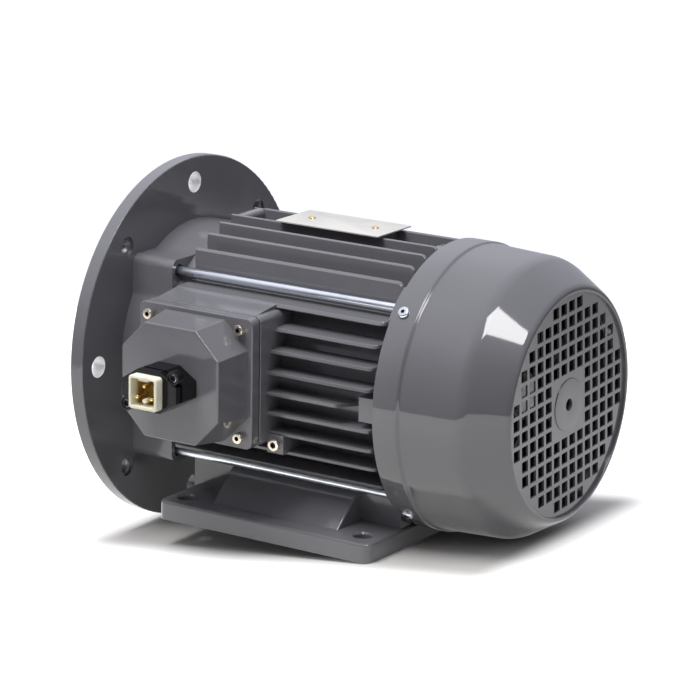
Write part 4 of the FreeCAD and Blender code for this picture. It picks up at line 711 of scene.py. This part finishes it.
class MOTOR_OT_castings(bpy.types.Operator):
    """End shields, finned frame and foot"""
    bl_idname = "motor.castings"
    bl_label = "Castings"

    def execute(self, context):
        self.drive_shield(context.scene.motor_edges)
        dress("finned_frame", "stator_frame")
        dress("foot_saddle", "foot_casting")
        dress("rear_shield_casting", "nondrive_end_shield")
        return {"FINISHED"}

    def drive_shield(self, edges):
        """The shield with bare walls in three bolt holes, pale as painted light, and threads in its tapped
        ones.
        """
        bm = copy_of("drive_end_shield")
        walls = [face for face in bm.faces
                 if near_axis(face.calc_center_median(), TAPPED_PLACES, TAPPED_WALL)]
        bmesh.ops.delete(bm, geom=walls, context="FACES_ONLY")
        for place in TAPPED_PLACES:
            merge(bm, thread_ring(edges.pitch), Matrix.Translation(place))
        # Tapped mouths take the thread finish; three plain holes take pale walls of painted light, and the
        # one behind the foot keeps the casting's paint as painted shade.
        for face in bm.faces:
            spot = face.calc_center_median()
            if near_axis(spot, TAPPED_PLACES, TAPPED_MOUTH):
                face.material_index = 1
            elif near_axis(spot, BARE_PLACES, BARE_WALL):
                face.material_index = 2
        piece = seat(bm, "drive_shield_casting", "drive_end_shield", smooth_flats=True)
        piece.data.materials.append(finish("thread_steel"))
        piece.data.materials.append(finish("cut_wall_painted_light"))


class MOTOR_OT_lid(bpy.types.Operator):
    """Terminal lid and its gasket"""
    bl_idname = "motor.lid"
    bl_label = "Terminal Lid"

    def execute(self, context):
        dress("lid_casting", "terminal_lid")
        dress("lid_seal", "lid_gasket")
        return {"FINISHED"}


# What takes the painted reflection and shade in the insert's mouth: how deep it goes, and the walls round it
MOUTH_END, MOUTH_WALL = -153.0 * MM, 1.7 * MM


class MOTOR_OT_connector(bpy.types.Operator):
    """Connector housing, insert and pins"""
    bl_idname = "motor.connector"
    bl_label = "Connector"

    def execute(self, context):
        dress("plug_housing", "connector_housing")
        self.insert()
        bm = bmesh.new()
        for low, high in islands("connector_pins"):
            merge(bm, self.pin(high - low, context.scene.motor_edges.pin),
                  facing(OUT, ((low.x + high.x) / 2, high.y, (low.z + high.z) / 2)))
        seat(bm, "plug_pins", "connector_pins")
        return {"FINISHED"}

    def insert(self):
        """The insert with painted reflection and shade inside its mouth, darker towards the contacts."""
        bm = copy_of("connector_insert")
        low, high = (Vector(corner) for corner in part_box("connector_insert"))
        for face in bm.faces:
            spot = face.calc_center_median()
            inside = all(low[axis] + MOUTH_WALL < spot[axis] < high[axis] - MOUTH_WALL for axis in (0, 2))
            if inside and spot.y < MOUTH_END:
                face.material_index = 1
        piece = seat(bm, "plug_insert", "connector_insert", smooth_flats=True)
        piece.data.materials.append(finish("mouth_painted_reflection"))

    def pin(self, size, edge):
        """Round pin along Z with a rounded tip."""
        bm = bmesh.new()
        tip = ring(bm, 24, size.x / 2, Matrix.Translation((0, 0, size.y)))
        bmesh.ops.edgeloop_fill(bm, edges=tip)
        foot = drawn_on(bm, tip, (0, 0, -size.y))
        bmesh.ops.edgeloop_fill(bm, edges=foot)
        round_off(bm, tip, edge, 5)
        bmesh.ops.recalc_face_normals(bm, faces=bm.faces)
        return bm


# Head, head height, shank and socket of the screws, in millimetres
LID_SCREW, PLUG_SCREW = (7.0, 4.0, 4.0, 3.0), (5.4, 3.0, 3.0, 3.6)
EARTH_SCREW, FOOT_SCREW = (8.0, 3.6, 5.0, 4.0), (13.0, 8.0, 8.0, 6.0)
COWL_SCREW, COWL_SCREW_REACH = (8.0, 2.2, 4.0, 2.5), 10 * MM
COWL_SCREW_SEAT = Matrix.Translation((226.0 * MM, 0, 96.0 * MM))
# Cosine within which a face counts as the top of a head, which takes painted shade on the connector's screws
TOP_FACING = 0.95


class MOTOR_OT_screws(bpy.types.Operator):
    """Socket screws of the lid, the connector, the earth lug, the cowl and the foot"""
    bl_idname = "motor.screws"
    bl_label = "Screws"

    def execute(self, context):
        edges = context.scene.motor_edges
        self.row("lid_screw_set", "lid_screws", OUT, LID_SCREW, edges.screw)
        self.row("plug_screw_set", "connector_screws", OUT, PLUG_SCREW, edges.screw, True)
        self.row("earth_screw_head", "earth_screw", OUT, EARTH_SCREW, edges.screw)
        self.row("foot_screw_set", "foot_screws", -UP, FOOT_SCREW, edges.screw)
        self.cowl_screws(edges.dome)
        return {"FINISHED"}

    def row(self, name, node, direction, sizes, rounding, painted_shade_top=False):
        """One screw in the place of each solid of a node, with painted shade in its socket, and on its top
        when that flag is given.
        """
        bm = bmesh.new()
        tall = sizes[1] * MM
        for low, high in islands(node):
            along = abs((high - low).dot(direction))
            seat_place = (low + high) / 2 + direction * (along / 2 - tall)
            merge(bm, screw(sizes, along - tall, rounding), facing(direction, seat_place))
        # The heads' tops can take the painted shade too.
        for face in bm.faces:
            face.normal_update()
            if painted_shade_top and face.normal.dot(direction) > TOP_FACING:
                face.material_index = 1
        seat(bm, name, node).data.materials.append(finish("socket_painted_shade"))

    def cowl_screws(self, rounding):
        """Four screws round the cowl's rim."""
        bm = bmesh.new()
        one = screw(COWL_SCREW, COWL_SCREW_REACH, rounding)
        for quarter in range(4):
            turn = COWL_TURN @ Matrix.Rotation(math.pi / 4 + quarter * math.pi / 2, 4, "X")
            merge(bm, one, turn @ COWL_SCREW_SEAT)
        # Their sockets take the painted shade.
        seat(bm, "cowl_screw_set", "cowl_screws").data.materials.append(finish("socket_painted_shade"))


ROD_END = 0.8 * MM


class MOTOR_OT_rods(bpy.types.Operator):
    """Plated tie rods with broken ends, and their nuts"""
    bl_idname = "motor.rods"
    bl_label = "Tie Rods"

    def execute(self, context):
        bm = bmesh.new()
        for low, high in islands("tie_rods"):
            middle = (low + high) / 2
            start = Vector((low.x, middle.y, middle.z))
            merge(bm, self.rod((high.y - low.y) / 2, high.x - low.x), facing(EAST, start))
        seat(bm, "tie_rod_set", "tie_rods")
        dress("tie_rod_nut_set", "tie_rod_nuts")
        return {"FINISHED"}

    def rod(self, radius, long):
        """Round rod along Z with broken ends."""
        bm = bmesh.new()
        near = ring(bm, 32, radius)
        bmesh.ops.edgeloop_fill(bm, edges=near)
        far = drawn_on(bm, near, (0, 0, long))
        bmesh.ops.edgeloop_fill(bm, edges=far)
        round_off(bm, near + far, ROD_END, 2)
        bmesh.ops.recalc_face_normals(bm, faces=bm.faces)
        return bm


PLATE_CORNER, RIVET_RADIUS, RIVET_FLATTENING = 1.0 * MM, 2.5 * MM, 0.5


class MOTOR_OT_nameplate(bpy.types.Operator):
    """Bare nameplate and its domed rivets"""
    bl_idname = "motor.nameplate"
    bl_label = "Nameplate"

    def execute(self, context):
        low, high = (Vector(corner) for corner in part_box("nameplate"))
        size = high - low
        bm = bmesh.new()
        pose = Matrix.Translation((high + low) / 2) @ Matrix.Diagonal((*size, 1))
        bmesh.ops.create_cube(bm, size=1, matrix=pose)
        upright = [edge for edge in bm.edges if abs((edge.verts[0].co - edge.verts[1].co).z) > 0.5 * size.z]
        round_off(bm, upright, PLATE_CORNER, 4)
        rims = [edge for edge in bm.edges if edge.calc_face_angle(0) > 1]
        round_off(bm, rims, context.scene.motor_edges.plate, 2)
        seat(bm, "nameplate_sheet", "nameplate")
        rivets = bmesh.new()
        for near, far in islands("nameplate_rivets"):
            place = ((near.x + far.x) / 2, (near.y + far.y) / 2, high.z)
            merge(rivets, self.dome(), Matrix.Translation(place))
        seat(rivets, "rivet_heads", "nameplate_rivets")
        return {"FINISHED"}

    def dome(self):
        """Flattened half ball that stands on Z zero."""
        bm = bmesh.new()
        bmesh.ops.create_uvsphere(bm, u_segments=24, v_segments=16, radius=RIVET_RADIUS)
        bmesh.ops.bisect_plane(bm, geom=bm.verts[:] + bm.edges[:] + bm.faces[:], plane_co=(0, 0, 0),
                               plane_no=UP, clear_inner=True)
        bmesh.ops.scale(bm, vec=(1, 1, RIVET_FLATTENING), verts=bm.verts)
        return bm


class MOTOR_OT_shaft(bpy.types.Operator):
    """Shaft with its key, the seal and the fan"""
    bl_idname = "motor.shaft"
    bl_label = "Shaft and Fan"

    def execute(self, context):
        dress("turned_shaft", "shaft")
        dress("fitted_key", "shaft_key")
        dress("lip_seal", "shaft_seal")
        dress("moulded_fan", "fan")
        return {"FINISHED"}


class MOTOR_OT_inner_works(bpy.types.Operator):
    """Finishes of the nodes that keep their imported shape"""
    bl_idname = "motor.inner_works"
    bl_label = "Inner Works"

    def execute(self, context):
        coat(*[node for node in NODES if not NODES[node].hide_render])
        return {"FINISHED"}


# Stage


# Place of the flange's lowest edge along the shaft
FLANGE_HEEL = 9.1 * MM
FLOOR_HALF, FLOOR_MIDDLE = 0.72, Matrix.Translation((0, -0.09, 0))
# A box round the footprint where the paper's glow is off so the shade shows, which paints how far the shadow
# reaches: its middle and its half widths, any height
SHADE_MIDDLE, SHADE_HALF = (0.15, 0, 0), (0.14, 0.085, 9)
# Start, end, low and high of the paper's own light: to the camera, in the paint, and there dimmed towards the
# back as painted shade in the reflections
SHOWN, MIRRORED, BACK_SHADE_SPAN = (0.0, 0.04, 0.0, 0.95), (0.0, 0.012, 0.25, 1.0), (0.1, 0.5, 1.0, 0.25)


def floor_paper():
    """Paper that glows white to the camera and in the paint but not in a box round the footprint, which
    paints the shadow's reach; in the paint the glow dims towards the back as painted shade.
    """
    look = Finish("floor_paper")
    look.blend(look.noise(3, 2), (0.57, 0.555, 0.52), (0.59, 0.575, 0.54))
    look.set(Roughness=0.9, Specular_IOR_Level=0.1, Emission_Color=(1, 1, 1, 1))
    away = look.place
    for operation, value in (("SUBTRACT", SHADE_MIDDLE), ("ABSOLUTE", None), ("SUBTRACT", SHADE_HALF),
                             ("MAXIMUM", (0, 0, 0))):
        away = look.vector(operation, away, value).outputs["Vector"]
    reach = look.vector("LENGTH", away).outputs["Value"]
    shown = look.maths("MULTIPLY", look.rays("Is Camera Ray"), look.span(reach, *SHOWN))
    mirrored = look.maths("MULTIPLY", look.rays("Is Glossy Ray"), look.span(reach, *MIRRORED))
    # Painted shade: the glow seen in the paint dims towards the back.
    painted_back_shade = look.maths("MULTIPLY", mirrored, look.span(look.along("Y"), *BACK_SHADE_SPAN))
    look.join(look.maths("MAXIMUM", shown, painted_back_shade), "Emission Strength")
    return look.material


def lay_floor(stage):
    """A floor on which the flange's lowest edge, the foot's end and the cowl stand."""
    bm = bmesh.new()
    bmesh.ops.create_grid(bm, x_segments=1, y_segments=1, size=FLOOR_HALF, matrix=FLOOR_MIDDLE)
    slope = Matrix.Rotation(-stage.tilt, 4, "Y")
    rest = Matrix.Translation((FLANGE_HEEL, 0, CAD_LOW.z))
    bmesh.ops.transform(bm, matrix=rest @ slope, verts=bm.verts)
    mesh = bpy.data.meshes.new("floor")
    bm.to_mesh(mesh)
    bm.free()
    floor = bpy.data.objects.new("floor", mesh)
    bpy.context.scene.collection.objects.link(floor)
    mesh.materials.append(floor_paper())


# Directions in which the studio is darker or lighter: axis, reach and level
STUDIO_WALLS = (((0.25, -0.97, 0.0), (0.45, 0.9), 0.12), ((0.85, 0.50, -0.15), (0.1, 0.85), 0.35),
                ((-0.54, 0.82, 0.2), (0.55, 0.95), 1.25))
SKY_REACH, SKY_LEVELS = (-0.1, 1.0), (0.40, 1.12)
STUDIO_TINT, CAMERA_WHITE = (0.95, 0.96, 1.08, 1), 1.06


def light_world(scene):
    """Studio that is brightest overhead, dark where the camera stands and behind the cowl."""
    world = bpy.data.worlds.new("studio")
    scene.world = world
    world.use_nodes = True
    studio = Pattern(world.node_tree, "Generated")

    def towards(axis, reach, levels):
        """Light that changes from the first level to the second within reach of an axis."""
        along = studio.vector("DOT_PRODUCT", studio.place, axis).outputs["Value"]
        return studio.span(along, *reach, *levels)

    light = towards((0, 0, 1), SKY_REACH, SKY_LEVELS)
    for axis, reach, level in STUDIO_WALLS:
        light = studio.maths("MULTIPLY", light, towards(axis, reach, (1.0, level)))
    shown = studio.nodes.new("ShaderNodeMix")
    shown.inputs["B"].default_value = CAMERA_WHITE
    studio.links.new(studio.rays("Is Camera Ray"), shown.inputs["Factor"])
    studio.links.new(light, shown.inputs["A"])
    ground = studio.nodes["Background"]
    ground.inputs["Color"].default_value = STUDIO_TINT
    studio.links.new(shown.outputs["Result"], ground.inputs["Strength"])


def lamp(name, size, energy, place, target):
    """A rectangular softbox that looks at a target."""
    light = bpy.data.lights.new(name, "AREA")
    light.shape = "RECTANGLE"
    light.size, light.size_y = size
    light.energy = energy
    holder = bpy.data.objects.new(name, light)
    holder.location = place
    holder.rotation_mode = "QUATERNION"
    holder.rotation_quaternion = (Vector(target) - Vector(place)).to_track_quat("-Z", "Y")
    bpy.context.scene.collection.objects.link(holder)
    return holder


def hang_lights():
    """A softbox that only shows in the gloss paint, and one that only lights the flange side."""
    key = lamp("key_softbox", size=(0.6, 0.62), energy=17, place=(0.76, -0.54, 1.46),
               target=(0.28, -0.05, 0.05))
    key.visible_diffuse = False
    fill = lamp("fill_softbox", size=(0.5, 0.5), energy=9, place=(-0.05, -0.42, 0.92),
                target=(0.08, -0.05, 0.05))
    fill.visible_glossy = False


CAMERA_PLACE, SENSOR = (1.29413, -1.77351, 0.56394), 36


def set_camera(scene, stage):
    """The camera as it was fitted to the photo."""
    data = bpy.data.cameras.new("camera")
    data.lens = stage.lens
    data.sensor_width = SENSOR
    camera = bpy.data.objects.new("camera", data)
    turn, height = stage.turn, stage.height
    back = Vector((math.sin(turn) * math.cos(height), -math.cos(turn) * math.cos(height), math.sin(height)))
    right = Vector((math.cos(turn), math.sin(turn), 0))
    up = back.cross(right)
    level = right * math.cos(stage.roll) + up * math.sin(stage.roll)
    upright = up * math.cos(stage.roll) - right * math.sin(stage.roll)
    pose = Matrix((level, upright, back)).transposed().to_4x4()
    pose.translation = CAMERA_PLACE
    camera.matrix_world = pose
    scene.collection.objects.link(camera)
    scene.camera = camera


class MOTOR_OT_stage(bpy.types.Operator):
    """Floor, light and camera"""
    bl_idname = "motor.stage"
    bl_label = "Stage"

    def execute(self, context):
        stage = context.scene.motor_stage
        lay_floor(stage)
        light_world(context.scene)
        hang_lights()
        set_camera(context.scene, stage)
        context.scene.view_settings.view_transform = "Standard"
        return {"FINISHED"}


# Panel and registration


class MOTOR_PT_pieces(bpy.types.Panel):
    """The motor's pieces and settings"""
    bl_idname = "MOTOR_PT_pieces"
    bl_label = "Induction Motor"
    bl_space_type = "VIEW_3D"
    bl_region_type = "UI"
    bl_category = "Motor"

    def draw(self, context):
        for operator in OPERATORS:
            self.layout.operator(operator.bl_idname)
        for group in (context.scene.motor_finishes, context.scene.motor_edges, context.scene.motor_stage):
            column = self.layout.column()
            for name in group.__annotations__:
                column.prop(group, name)


OPERATORS = (MOTOR_OT_cowl, MOTOR_OT_castings, MOTOR_OT_lid, MOTOR_OT_connector, MOTOR_OT_screws,
             MOTOR_OT_rods, MOTOR_OT_nameplate, MOTOR_OT_shaft, MOTOR_OT_inner_works, MOTOR_OT_stage)
CLASSES = (MotorFinishes, MotorEdges, MotorStage, *OPERATORS, MOTOR_PT_pieces)


def register():
    for item in CLASSES:
        bpy.utils.register_class(item)
    bpy.types.Scene.motor_finishes = PointerProperty(type=MotorFinishes)
    bpy.types.Scene.motor_edges = PointerProperty(type=MotorEdges)
    bpy.types.Scene.motor_stage = PointerProperty(type=MotorStage)


def unregister():
    del bpy.types.Scene.motor_stage
    del bpy.types.Scene.motor_edges
    del bpy.types.Scene.motor_finishes
    for item in reversed(CLASSES):
        bpy.utils.unregister_class(item)


def main():
    register()
    bpy.ops.motor.cowl()
    bpy.ops.motor.castings()
    bpy.ops.motor.lid()
    bpy.ops.motor.connector()
    bpy.ops.motor.screws()
    bpy.ops.motor.rods()
    bpy.ops.motor.nameplate()
    bpy.ops.motor.shaft()
    bpy.ops.motor.inner_works()
    bpy.ops.motor.stage()


if __name__ == "__main__":
    main()
